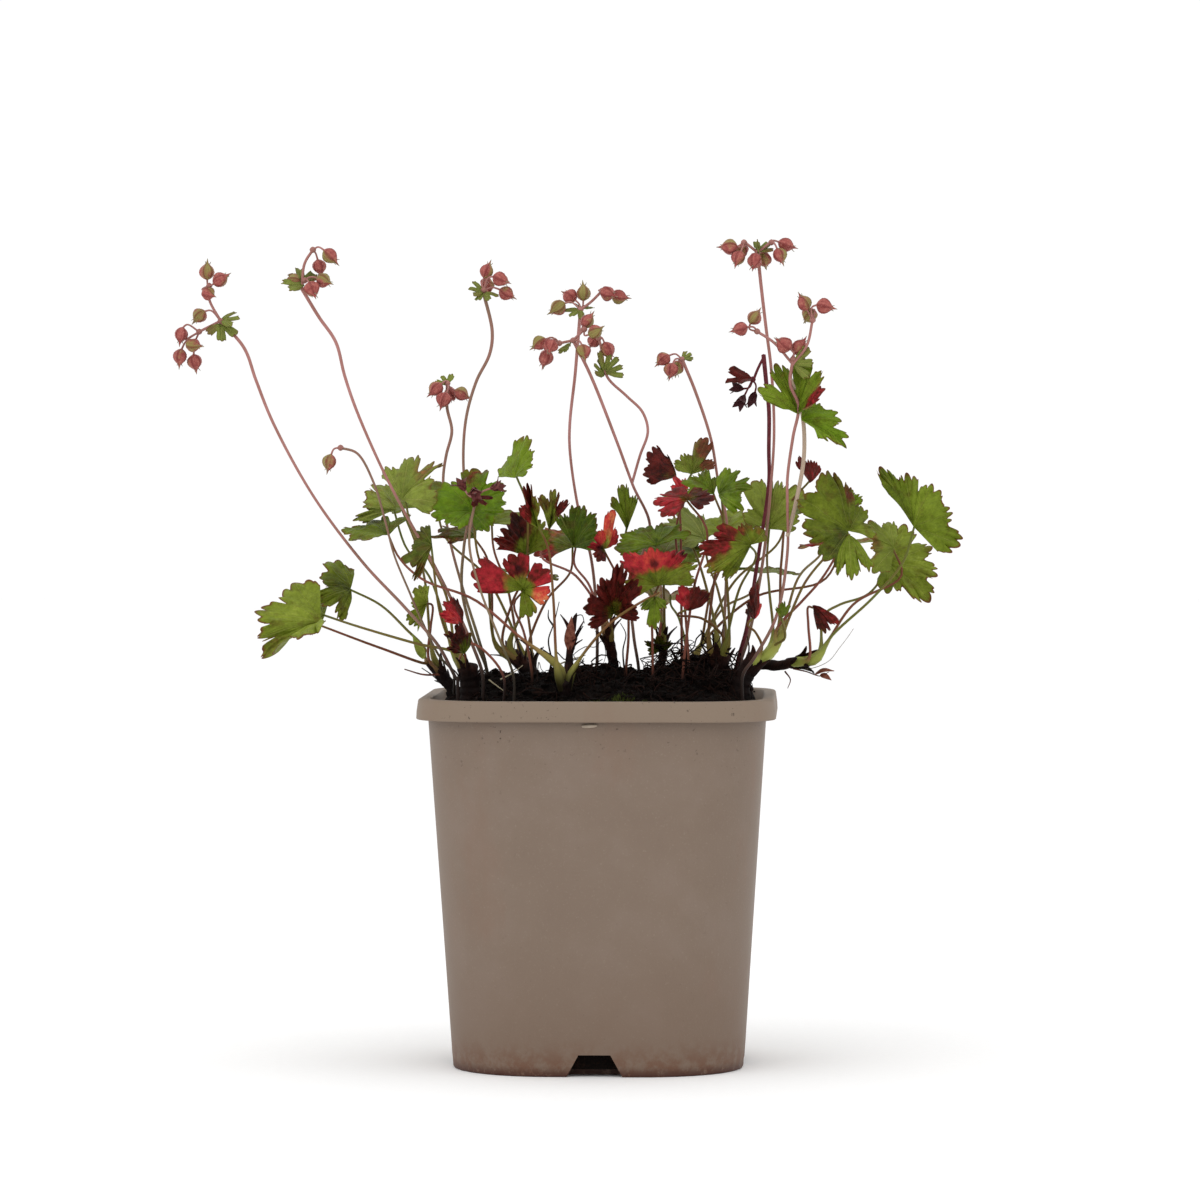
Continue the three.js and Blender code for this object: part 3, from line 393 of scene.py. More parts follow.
@dataclass(frozen=True)
class LeafBlade(Finish):
    """Living leaf, thinly waxed: satin, bronzed in patches, with a faint net of veins, red where it turns.

    Its patches are about 9 mm across, its mottling 2.4 mm and its grain 0.7 mm. Side veins leave a rib
    every 3.2 mm, and a rib is 0.3 mm to each side.
    """

    name: str = "cranesbill_leaf_blade"
    patch: float = 9.0
    mottle: float = 2.4
    grain: float = 0.7
    vein_gap: float = 3.2
    rib_width: float = 0.3

    def shader(self, node: partial) -> NodeSocket:
        """Reads the marks that LeafShape sets."""
        names = ("tone", "fresh", "blush", "warmth", "out", "rib", "share", "rim", "pale", "spot")
        mark = {name: node("Attribute", out="Fac", attribute_name=name) for name in names}
        place = node("TexCoord", out="Object")
        patches, bronze, turning, mottle, grain = (
            node("TexNoise", {"Vector": place, "Scale": 1 / (size * MM), "Detail": 4, "Roughness": 0.6})
            for size in (self.patch, 5.5, 4.0, self.mottle, self.grain)
        )
        tone = node("Math", (mark["tone"], 0.6), operation="SUBTRACT")
        for cloud, strength in ((patches, 0.5), (mottle, 0.45), (grain, 0.25)):
            tone = node("Math", (cloud, strength, tone), operation="MULTIPLY_ADD", use_clamp=True)
        olive = node("ValToRGB", {"Fac": tone}, stops={
            0.0: "#1c1e06", 0.3: "#3c3f0c", 0.55: "#61661d", 0.8: "#7e8330", 1.0: "#a0a44c"})
        fresh = node("ValToRGB", {"Fac": tone}, stops={
            0.0: "#172504", 0.3: "#344a05", 0.55: "#547009", 0.8: "#6f8f1c", 1.0: "#90ae36"})
        heat = node("Math", (mark["warmth"], 0.45), operation="SUBTRACT")
        heat = node("Math", (mottle, 0.8, heat), operation="MULTIPLY_ADD", use_clamp=True)
        red = node("ValToRGB", {"Fac": heat}, stops={
            0.0: "#240b07", 0.3: "#5e1c17", 0.55: "#a72730", 0.78: "#c9473a", 1.0: "#de8d5c"})
        turned = node("Math", (turning, 0.8, mark["blush"]), operation="MULTIPLY_ADD")
        turned = node("MapRange", (turned, 0.68, 1.15), interpolation_type="SMOOTHSTEP")
        bronzed = node("MapRange", (bronze, 0.5, 0.72, 0.0, 0.5), interpolation_type="SMOOTHSTEP")
        main = node("MapRange", (mark["rib"], 0.06, self.rib_width, 1.0, 0.0))
        along = node("Math", (mark["rib"], -1.15, mark["out"]), operation="MULTIPLY_ADD")
        off = node("Math", (along, self.vein_gap / 2), operation="PINGPONG")
        side = node("MapRange", (off, 0.03, 0.18, 0.5, 0.0))
        near = node("MapRange", (mark["rib"], 3.0, 6.0, 1.0, 0.0))
        side = node("Math", (side, near), operation="MULTIPLY")
        vein = node("Math", (main, side), operation="MAXIMUM")
        strength = node("Math", (mark["pale"], 0.3, 0.14), operation="MULTIPLY_ADD")
        strength = node("Math", (turned, -0.12, strength), operation="MULTIPLY_ADD")
        veined = node("Math", (vein, strength), operation="MULTIPLY")
        under = node("Math", (mark["pale"], 0.55), operation="MULTIPLY")
        margin = node("MapRange", (mark["share"], 0.94, 0.995))
        margin = node("Math", (margin, mark["rim"]), operation="MULTIPLY")
        colour = olive
        for tint, share in (
            (fresh, mark["fresh"]), ("#4d3512", bronzed), (red, turned), ("#8d9657", under),
            ("#b3b263", veined), ("#642c20", margin), ("#2a1012", mark["spot"]),
        ):
            colour = node("Mix", {0: share, 6: colour, 7: tint}, out=2, data_type="RGBA")
        quilt = node("Math", (vein, -0.5, mottle), operation="MULTIPLY_ADD")
        bump = node("Bump", {"Height": quilt, "Distance": 0.4 * MM})
        return node("BsdfPrincipled", {
            "Base Color": colour, "Normal": bump, "Roughness": 0.5, "IOR": 1.42, "Specular IOR Level": 0.1})


@dataclass(frozen=True)
class FreshStalk(Finish):
    """Living stalk, finely ribbed: satin, from olive through brown to pink-red as its flush grows."""

    name: str = "cranesbill_stalk"
    tones: tuple[str, ...] = ("#6b6f37", "#7d6e50", "#846556", "#9a6961", "#b07c78")

    def shader(self, node: partial) -> NodeSocket:
        """Reads the marks flush, pale, soil and beige; soil is soil in the peat and painted shade on the
        stretch above it under the leaves.
        """
        names = ("flush", "pale", "soil", "beige")
        mark = {name: node("Attribute", out="Fac", attribute_name=name) for name in names}
        place = node("Mapping", {"Vector": node("TexCoord", out="Object"), "Scale": (1, 1, 0.35)})
        patches = node("TexNoise", {"Vector": place, "Scale": 1 / (5 * MM), "Detail": 4, "Roughness": 0.6})
        flush = node("Math", (mark["flush"], 0.32), operation="SUBTRACT")
        flush = node("Math", (patches, 0.64, flush), operation="MULTIPLY_ADD", use_clamp=True)
        colour = node("ValToRGB", {"Fac": flush}, stops=dict(zip((0.0, 0.3, 0.55, 0.8, 1.0), self.tones)))
        # The soil tint is near black: soil where the stalk is in the peat, and painted shade where it stands
        # above the peat under the leaves.
        for tint, share in (("#98a04a", mark["pale"]), ("#bba893", mark["beige"]), ("#130a07", mark["soil"])):
            colour = node("Mix", {0: share, 6: colour, 7: tint}, out=2, data_type="RGBA")
        return node("BsdfPrincipled", {
            "Base Color": colour, "Roughness": 0.5, "IOR": 1.42, "Specular IOR Level": 0.2})


@dataclass(frozen=True)
class CalyxSkin(Finish):
    """Sepals closed over the young fruit: softly hairy, dull pink-red and olive between dark ribs."""

    name: str = "cranesbill_calyx"

    def shader(self, node: partial) -> NodeSocket:
        """Reads the marks rib, vein, rise, green, dead and hair."""
        names = ("rib", "vein", "rise", "green", "dead", "hair")
        mark = {name: node("Attribute", out="Fac", attribute_name=name) for name in names}
        place = node("TexCoord", out="Object")
        patches, blotches, fuzz = (
            node("TexNoise", {"Vector": place, "Scale": 1 / (size * MM), "Detail": 3, "Roughness": 0.6})
            for size in (2.6, 1.3, 0.35)
        )
        red = node("ValToRGB", {"Fac": blotches}, stops={
            0.0: "#6b2c2a", 0.38: "#934a46", 0.6: "#ad635a", 1.0: "#cf9b89"})
        green = node("Math", (patches, 1.2, mark["green"]), operation="MULTIPLY_ADD")
        green = node("MapRange", (green, 0.9, 1.4), interpolation_type="SMOOTHSTEP")
        rib = node("MapRange", (mark["rib"], 0.6, 0.98, 0.0, 0.65), interpolation_type="SMOOTHSTEP")
        vein = node("Math", (mark["vein"], 0.3), operation="MULTIPLY")
        beak = node("MapRange", (mark["rise"], 0.84, 0.96, 0.0, 0.8))
        colour = red
        for tint, share in (
            ("#8a8449", green), ("#752e2c", vein), ("#6a2525", rib), ("#7e826b", beak),
            ("#3c171b", mark["dead"]), ("#dcc0b0", mark["hair"]),
        ):
            colour = node("Mix", {0: share, 6: colour, 7: tint}, out=2, data_type="RGBA")
        bump = node("Bump", {"Height": fuzz, "Distance": 0.1 * MM})
        return node("BsdfPrincipled", {
            "Base Color": colour, "Normal": bump, "Roughness": 0.55, "IOR": 1.42, "Specular IOR Level": 0.2,
            "Sheen Weight": 0.06, "Sheen Roughness": 0.5, "Sheen Tint": "#e8c8bd"})


@dataclass(frozen=True)
class DeadStalk(Finish):
    """Last year's stalk and rhizome bark: dry, dark red-brown to near black, with flaking rings."""

    name: str = "cranesbill_bark"
    dark: str = "#26110d"
    light: str = "#6a3a2b"
    flaking: float = 0.3

    def shader(self, node: partial) -> NodeSocket:
        """Flakes over clouded bark, darker where it meets the peat."""
        place = node("TexCoord", out="Object")
        rings = node("Mapping", {"Vector": place, "Scale": (1, 1, 2.2)})
        flakes = node("TexNoise", {"Vector": rings, "Scale": 1 / (1.6 * MM), "Detail": 5, "Roughness": 0.65})
        cloud = node("TexNoise", {"Vector": place, "Scale": 1 / (3.2 * MM), "Detail": 4, "Roughness": 0.65})
        colour = node("ValToRGB", {"Fac": cloud}, stops={0.0: self.dark, 0.45: self.dark, 1.0: self.light})
        loose = node("MapRange", (flakes, 0.62, 0.78, 0.0, self.flaking))
        level = node("SeparateXYZ", {"Vector": place}, out="Z")
        sunk = node("MapRange", (level, 143 * MM, 154 * MM, 0.9, 0.0))
        for tint, share in (("#7a5a40", loose), ("#0b0504", sunk)):
            colour = node("Mix", {0: share, 6: colour, 7: tint}, out=2, data_type="RGBA")
        bump = node("Bump", {"Height": flakes, "Distance": self.flaking * MM})
        return node("BsdfPrincipled", {
            "Base Color": colour, "Normal": bump, "Roughness": 0.75, "Specular IOR Level": 0.12})


@dataclass(frozen=True)
class Peat(Finish):
    """Moist peat: crumbs of about 1 mm and fibres, near black with a few brown ones, unglossed."""

    name: str = "moist_peat"

    def shader(self, node: partial) -> NodeSocket:
        """Crumbs in three browns, darker where it is damp."""
        place = node("TexCoord", out="Object")
        crumbs = node("TexNoise", {"Vector": place, "Scale": 1 / (1.1 * MM), "Detail": 5, "Roughness": 0.75})
        clods = node("TexNoise", {"Vector": place, "Scale": 1 / (5 * MM), "Detail": 3, "Roughness": 0.6})
        colour = node("ValToRGB", {"Fac": crumbs}, stops={
            0.0: "#040201", 0.5: "#0b0503", 0.64: "#1d100a", 1.0: "#5e4030"})
        damp = node("MapRange", (clods, 0.42, 0.62, 0.0, 0.7))
        colour = node("Mix", {0: damp, 6: colour, 7: "#060302"}, out=2, data_type="RGBA")
        bump = node("Bump", {"Height": crumbs, "Distance": 1.1 * MM})
        return node("BsdfPrincipled", {
            "Base Color": colour, "Normal": bump, "Roughness": 0.9, "Specular IOR Level": 0.08})


@dataclass(frozen=True)
class RecycledPlastic(Finish):
    """Injection-moulded recycled polypropylene: matte taupe, faintly mottled, scuffed and soiled."""

    name: str = "moulded_recycled_polypropylene"
    height: float = 135.5
    band: float = 7.4

    def shader(self, node: partial) -> NodeSocket:
        """Soil gathers at the foot and under the rim."""
        place = node("TexCoord", out="Object")
        level = node("SeparateXYZ", {"Vector": place}, out="Z")
        level = node("Math", (level, 1 / MM), operation="MULTIPLY")
        tall = node("Mapping", {"Vector": place, "Scale": (1, 1, 0.45)})
        cloud, grain, clots, edge_clots, fine, sparse = (
            node("TexNoise", {"Vector": place, "Scale": 1 / (size * MM), "Detail": detail, "Roughness": 0.7})
            for size, detail in ((26, 3), (0.8, 3), (5, 6), (2.2, 4), (1.5, 3), (12, 3))
        )
        smear = node("TexNoise", {"Vector": tall, "Scale": 1 / (34 * MM), "Detail": 5, "Roughness": 0.65})
        steps = {
            "scuffs": (grain, 0.55, 0.78, 0.0, 0.5), "smears": (smear, 0.56, 0.72, 0.0, 0.2),
            # rim is a painted highlight: the rim band is tinted lighter than the body, for the light that it
            # catches.
            "rim": (level, self.height - self.band - 0.4, self.height - self.band + 0.6, 0.0, 0.75),
            # The pot is darker towards the bottom, fading out 62 mm up.
            "lower_darkening": (level, 0.0, 62.0, 0.42, 0.0), "foot": (level, 0.0, 16.0, 0.85, 0.0),
            "edge": (level, 0.3, 4.5, 1.0, 0.0), "clots": (clots, 0.36, 0.62, 0.0, 1.0),
            "edge_clots": (edge_clots, 0.28, 0.5, 0.0, 1.0), "specks": (fine, 0.64, 0.69, 0.0, 1.0),
            "sparse": (sparse, 0.47, 0.62, 0.0, 1.0), "under": (level, 104.0, 127.0, 0.14, 0.85),
            "roughness": (cloud, 0.0, 1.0, 0.5, 0.66),
        }
        share = {
            name: node("MapRange", step, interpolation_type="SMOOTHSTEP") for name, step in steps.items()
        }
        soil = node("Math", (share["foot"], share["clots"]), operation="MULTIPLY")
        edge = node("Math", (share["edge"], share["edge_clots"]), operation="MULTIPLY")
        dirt = node("Math", (share["specks"], share["sparse"]), operation="MULTIPLY")
        dirt = node("Math", (dirt, share["under"]), operation="MULTIPLY")
        colour = node("ValToRGB", {"Fac": cloud}, stops={0.0: "#715f51", 0.5: "#776658", 1.0: "#807065"})
        for tint, amount in (
            ("#8b7d6f", share["scuffs"]), ("#81705f", share["rim"]), ("#7a5a47", share["smears"]),
            ("#6c5544", share["lower_darkening"]), ("#64402b", soil), ("#452416", edge), ("#2f2019", dirt),
        ):
            colour = node("Mix", {0: amount, 6: colour, 7: tint}, out=2, data_type="RGBA")
        bump = node("Bump", {"Height": grain, "Distance": 0.05 * MM})
        return node("BsdfPrincipled", {
            "Base Color": colour, "Normal": bump, "Roughness": share["roughness"], "IOR": 1.49,
            "Specular IOR Level": 0.4})


@dataclass(frozen=True)
class Plain(Finish):
    """A small natural scrap, such as a root, moss or a dry blade: two tones, mottled and rough."""

    dark: str
    light: str
    clouds: float = 1.5

    def shader(self, node: partial) -> NodeSocket:
        """Two tones in clouds."""
        place = node("TexCoord", out="Object")
        cloud = node("TexNoise", {
            "Vector": place, "Scale": 1 / (self.clouds * MM), "Detail": 4, "Roughness": 0.65})
        colour = node("ValToRGB", {"Fac": cloud}, stops={
            0.0: self.dark, 0.35: self.dark, 0.65: self.light, 1.0: self.light})
        bump = node("Bump", {"Height": cloud, "Distance": 0.15 * MM})
        return node("BsdfPrincipled", {
            "Base Color": colour, "Normal": bump, "Roughness": 0.85, "Specular IOR Level": 0.1})


@dataclass(frozen=True)
class PaleFloor(Finish):
    """Seamless studio paper: matte and almost white, with a fibre too fine to see."""

    name: str = "studio_paper"

    def shader(self, node: partial) -> NodeSocket:
        """Two near whites in clouds."""
        place = node("TexCoord", out="Object")
        fibre = node("TexNoise", {"Vector": place, "Scale": 1 / (3 * MM), "Detail": 3})
        colour = node("Mix", {0: fibre, 6: "#fafafa", 7: "#ffffff"}, out=2, data_type="RGBA")
        return node("BsdfPrincipled", {"Base Color": colour, "Roughness": 0.9, "Specular IOR Level": 0.1})


# Leaves


class Hue(Enum):
    """How green a leaf is, from the darkest to the yellowest; the value is its tone mark."""

    DARK = 0.38
    MID = 0.52
    OLIVE = 0.66
    BRIGHT = 0.6
    YELLOW = 0.78


@dataclass(frozen=True)
class Look:
    """A leaf's colouring.

    turned is how red each lobe is, in the order of the tips, and core how red the leaf is at its middle.
    heat runs from maroon at 0 to orange at 1, for the whole leaf or for each lobe. fresh is how far its
    green is from olive, rim the strength of the brown edge, and pale how much it looks like an underside.
    Each spot is a dark mark: its place across the lobes, its share of the way out and its radius.
    """

    hue: Hue = Hue.MID
    turned: tuple[float, ...] = ()
    fresh: float = 0.3
    core: float = 0.0
    heat: float | tuple[float, ...] = 0.2
    rim: float = 0.7
    pale: float = 0.0
    spots: tuple[Point, ...] = ()


@dataclass(frozen=True)
class Leaf:
    """A leaf: where its petiole ends, and its lobes' tips, anticlockwise as seen from its upper side.

    via is what the petiole passes, and cleft is how far out the clefts reach, as a share of the lobes.
    """

    seed: int
    at: Point
    tips: Route
    look: Look = Look()
    via: Route = field(default_factory=list)
    cleft: float = 0.74

    def ribs(self) -> Array:
        """The way from the petiole's end to each lobe's tip."""
        return array(self.tips) - array(self.at)

    def frame(self, u: Array) -> tuple[Array, Array]:
        """Which way the blade points out and up at places across its lobes.

        Lobe k has its rib at u = k + 0.5, and both ways turn evenly from rib to rib. Up is square to the
        two ribs beside it. Beyond the end ribs, out turns on about up by at most 50 degrees a lobe.

        Args:
            u: The places, counted in lobes.
        Returns:
            Unit vectors out and up, each of the shape of u by 3.
        """
        ways = unit(self.ribs())
        between = unit(np.cross(ways[:-1], ways[1:]))
        ups = unit(np.vstack([between[:1], between]) + np.vstack([between, between[-1:]]))
        place = np.clip(u - 0.5, 0, len(ways) - 1)
        k = np.minimum(place.astype(int), len(ways) - 2)
        t = (place - k)[..., None]
        out, up = (unit(a[k] * (1 - t) + a[k + 1] * t) for a in (ways, ups))
        gaps = np.arccos(np.clip((ways[:-1] * ways[1:]).sum(axis=1), -1, 1))
        gap = np.where(u < 0.5, gaps[0], gaps[-1])
        beyond = ((u - 0.5 - place) * np.minimum(gap, math.radians(50)))[..., None]
        return out * np.cos(beyond) + np.cross(up, out) * np.sin(beyond), up

    def axes(self) -> tuple[Array, Array, float]:
        """The leaf as a whole, by its middle lobe.

        Returns:
            The middle lobe's direction, the whole blade's up, and the middle lobe's length.
        """
        ribs = self.ribs()
        middle = (len(ribs) - 1) // 2
        _, ups = self.frame(np.arange(len(ribs)) + 0.5)
        return unit(ribs[middle]), unit(ups.sum(axis=0)), float(np.linalg.norm(ribs[middle]))


def round_leaf(
    seed: int, at: Point, tip: Point, face: Point, look: Look, lobes: int = 5, fan: float = 150.0,
    cleft: float = 0.74,
) -> Leaf:
    """A leaf whose lobes stand evenly round it, as in the solids.

    Its margin is cupped by the square of the way out, each lobe has a length and a lift of its own, and
    the far side droops.

    Args:
        seed: For its draws.
        at: Where its petiole ends.
        tip: The point that its middle lobe aims at.
        face: Roughly where its upper side looks.
        look: Its colouring.
        lobes: How many lobes it has.
        fan: How far they reach to each side, in degrees.
        cleft: How far out its clefts reach.
    Returns:
        The leaf.
    """
    span = np.subtract(tip, at).astype(float)
    reach = np.linalg.norm(span)
    along = span / reach
    up = unit(array(face) - along * np.dot(along, face))
    k = np.arange(lobes)
    bearing = fan * ((2 * k + 1) / lobes - 1)
    length = 0.88 + 0.16 * draw(seed, k) - 0.0006 * np.abs(bearing)
    ahead, aside = np.cos(np.radians(bearing)) * length, np.sin(np.radians(bearing)) * length
    lift = (0.12 + (draw(seed, 20 + k) - 0.5) * 0.3) * length**2 - 0.12 * np.maximum(0, ahead) ** 2
    flat = np.outer(ahead, along) + np.outer(aside, np.cross(up, along)) + np.outer(lift, up)
    return Leaf(seed, at, list(array(at) + reach * flat), look, cleft=cleft)


@dataclass(frozen=True)
class LeafShape:
    """How every blade is cut, as shares of a lobe's length or of its half width."""

    columns: int = 44
    rows: int = 9
    half_thickness: float = 0.2
    arch: float = 0.05
    ridge: float = 0.035
    shoulder: float = 0.74
    trim: float = 0.97
    teeth: tuple[float, ...] = (-1.0, -0.7, -0.32, 0.32, 0.7, 1.0)
    notches: tuple[float, ...] = (0.0, 0.06, 0.15, 0.15, 0.06, 0.0)

    def outline(self, leaf: Leaf, lobe: Array, s: Array) -> Array:
        """The blade's edge, as its distance from the petiole's end.

        A lobe keeps its length over most of its width. At both sides it falls to the cleft, the leaf's
        share of the mean length of the lobes beside it. Between two notches its edge bulges as a power
        of a half sine.

        Args:
            leaf: Whose edge.
            lobe: The lobe's number at each column.
            s: The place across the lobe, from -1 to 1.
        Returns:
            The distance at each column.
        """
        lengths = self.trim * np.linalg.norm(leaf.ribs(), axis=1)
        beside = lobe + (s > 0)
        padded = np.concatenate([lengths[:1], lengths, lengths[-1:]])
        cleft = leaf.cleft * (padded[beside] + padded[beside + 1]) / 2
        cleft = np.minimum(cleft, 0.9 * lengths[lobe]) * (0.82 + 0.36 * draw(leaf.seed, 40 + beside))
        fall = smoothstep(self.shoulder + 0.12 * draw(leaf.seed, 60 + beside), 1.0, np.abs(s))
        tilt = 0.16 * (draw(leaf.seed, 80 + lobe) - 0.5)
        place = np.interp(s - tilt, self.teeth, np.arange(len(self.teeth)))
        depth = np.interp(s - tilt, self.teeth, self.notches)
        depth = depth * (0.55 + 0.9 * draw(leaf.seed + lobe, np.round(place)))
        bulge = np.abs(np.sin(np.pi * (place % 1))) ** 0.6
        whole = lengths[lobe] * (1 - (0.14 + 0.1 * draw(leaf.seed, 100 + lobe)) * s * s)
        return (whole - (whole - cleft) * fall) * (1 - depth * (1 - bulge))

    def lift(self, leaf: Leaf, share: Array, u: Array, s: Array) -> Array:
        """How far a point stands above the straight line to the edge, as a share of its lobe's length.

        It is a low arch from the hub to the edge, a shallow valley along each rib, waves that grow
        towards the margin, and low puckers.

        Args:
            leaf: The leaf.
            share: The share of the way out to the edge.
            u: The place across the lobes.
            s: The place across the lobe, from -1 to 1.
        Returns:
            The lift at each point.
        """
        ruffle = 0.035 * np.sin(u * 5 + 9 * share + 6 * draw(leaf.seed, 90)) * share**2
        ruffle = ruffle + 0.03 * np.sin(u * 13 - 5 * share + 6 * draw(leaf.seed, 91)) * share**3
        ruffle = ruffle + 0.012 * np.sin(u * 7 + 21 * share) * np.sin(u * 11 - 17 * share) * share
        valley = np.sqrt(s * s + 0.01) - 0.1
        return self.arch * 4 * share * (1 - share) + self.ridge * valley * share + ruffle

    def blade(self, leaf: Leaf) -> Surface:
        """The blade as a closed lens: a grid of columns across the lobes and rows out to the edge.

        Both faces share the margin, the two sides of the open gap at the back and the middle. Elsewhere
        they stand half a thickness above and below the blade's own surface.

        Args:
            leaf: The leaf.
        Returns:
            The surface, with the marks that LeafBlade reads.
        """
        count = len(leaf.tips)
        x = np.linspace(-1, 1, self.columns, endpoint=False)
        s = np.append(np.tile(x * (1.25 - 0.25 * x * x), count), 1.0)
        lobe = np.append(np.repeat(np.arange(count), self.columns), count - 1)
        u = lobe + 0.5 + s / 2
        share = (1 - (1 - np.linspace(0, 1, self.rows + 1)[1:]) ** 1.35)[:, None]
        far = share * self.outline(leaf, lobe, s)
        out, up = leaf.frame(u)
        length = np.linalg.norm(leaf.ribs(), axis=1)[lobe]
        lift = self.lift(leaf, share, u, s) * length
        skin = array(leaf.at) + out * far[..., None] + up * lift[..., None]
        inside = np.ones(far.shape, bool)
        inside[-1] = False
        inside[:, [0, -1]] = False
        thick = (self.half_thickness * (1 - share**6) * inside)[..., None]
        rib = unit(leaf.ribs())[lobe]
        grid = {
            "share": share * np.ones_like(far),
            "rib": far * np.linalg.norm(np.cross(out, rib), axis=1),
            "out": far * (out * rib).sum(axis=1),
            "blush": self.blush(leaf, far / length, u),
            "warmth": self.spread(leaf, leaf.look.heat, u) * np.ones_like(far),
            "tone": self.tone(leaf, share, u),
            "spot": self.spots(leaf, skin),
        }
        return self.closed(leaf, skin + up * thick, skin - up * thick, inside, grid)

    def closed(
        self, leaf: Leaf, upper: Array, lower: Array, inside: Array, grid: dict[str, Array],
    ) -> Surface:
        """Joins a blade's two faces and marks its points.

        Args:
            leaf: The leaf.
            upper: The upper face's points, rows by columns by 3.
            lower: The lower face's.
            inside: Which of them the faces don't share.
            grid: The marks, each rows by columns.
        Returns:
            The surface.
        """
        top = np.arange(inside.size).reshape(inside.shape)
        under = top.copy()
        under[inside] = inside.size + np.arange(inside.sum())
        middle = inside.size + inside.sum()
        quads = np.stack([top[:-1, :-1], top[:-1, 1:], top[1:, 1:], top[1:, :-1]], axis=-1).reshape(-1, 4)
        below = np.stack([under[:-1, :-1], under[1:, :-1], under[1:, 1:], under[:-1, 1:]], axis=-1)
        hub = np.full(top.shape[1] - 1, middle)
        fan_top = np.stack([hub, top[0, 1:], top[0, :-1]], axis=-1)
        fan_under = np.stack([hub, under[0, :-1], under[0, 1:]], axis=-1)
        points = np.vstack([upper.reshape(-1, 3), lower[inside], leaf.at])
        quads = np.vstack([quads, below.reshape(-1, 4)])
        marks = {name: np.concatenate([g.ravel(), g[inside], [g[0].mean()]]) for name, g in grid.items()}
        look = leaf.look
        pale = np.full(len(points), look.pale)
        pale[inside.size:-1] = max(look.pale, 0.75)
        surface = Surface(points, quads[:, ::-1], np.vstack([fan_top, fan_under])[:, ::-1], marks)
        return surface.marked(pale=pale, rim=look.rim, fresh=look.fresh)

    def tone(self, leaf: Leaf, share: Array, u: Array) -> Array:
        """How light the green is: the leaf's hue, a draw for it, a draw for each lobe that also paints in the
        lobe's shading by its tilt, and painted shade that darkens it towards the hub.

        Args:
            leaf: The leaf.
            share: The share of the way out to the edge.
            u: The place across the lobes.
        Returns:
            The tone at each point.
        """
        # Each lobe's draw stands partly for its shading by its tilt, painted into its tone.
        lobes = 0.24 * (draw(leaf.seed, 200 + np.arange(len(leaf.tips))) - 0.5)
        own = leaf.look.hue.value + 0.1 * (draw(leaf.seed, 95) - 0.5)
        # The last term is painted shade, darker towards the hub.
        return own + self.spread(leaf, lobes, u) - 0.08 * (1 - smoothstep(0.1, 0.5, share))

    def spread(self, leaf: Leaf, values: float | tuple[float, ...] | Array, u: Array) -> Array:
        """One value for all, or some that run evenly into each other across the lobes.

        Args:
            leaf: The leaf.
            values: The value or values.
            u: The place across the lobes.
        Returns:
            The value at each place.
        """
        values = np.atleast_1d(values)
        return np.interp(u, (np.arange(len(values)) + 0.5) * len(leaf.tips) / len(values), values)

    def blush(self, leaf: Leaf, share: Array, u: Array) -> Array:
        """How red each point is: the core's share at the middle, and its lobe's share further out.

        Args:
            leaf: The leaf.
            share: The share of the way out to the edge.
            u: The place across the lobes.
        Returns:
            The blush at each point.
        """
        core = leaf.look.core
        turned = self.spread(leaf, leaf.look.turned or core, u)
        return core + (turned - core) * smoothstep(0.15, 0.6, share)

    def spots(self, leaf: Leaf, skin: Array) -> Array:
        """Dark marks: 1 within each spot's radius, fading over its last part.

        Args:
            leaf: The leaf.
            skin: The blade's own surface, rows by columns by 3.
        Returns:
            The darkness at each point.
        """
        dark = np.zeros(skin.shape[:2])
        lengths = np.linalg.norm(leaf.ribs(), axis=1)
        for place, share, radius in leaf.look.spots:
            out, _ = leaf.frame(np.array([place]))
            reach = share * np.interp(place, np.arange(len(lengths)) + 0.5, lengths)
            centre = array(leaf.at) + out[0] * reach
            off = np.linalg.norm(skin - centre, axis=-1)
            dark = np.maximum(dark, 1 - smoothstep(0.5 * radius, radius, off))
        return dark * 0.85


# Stalks


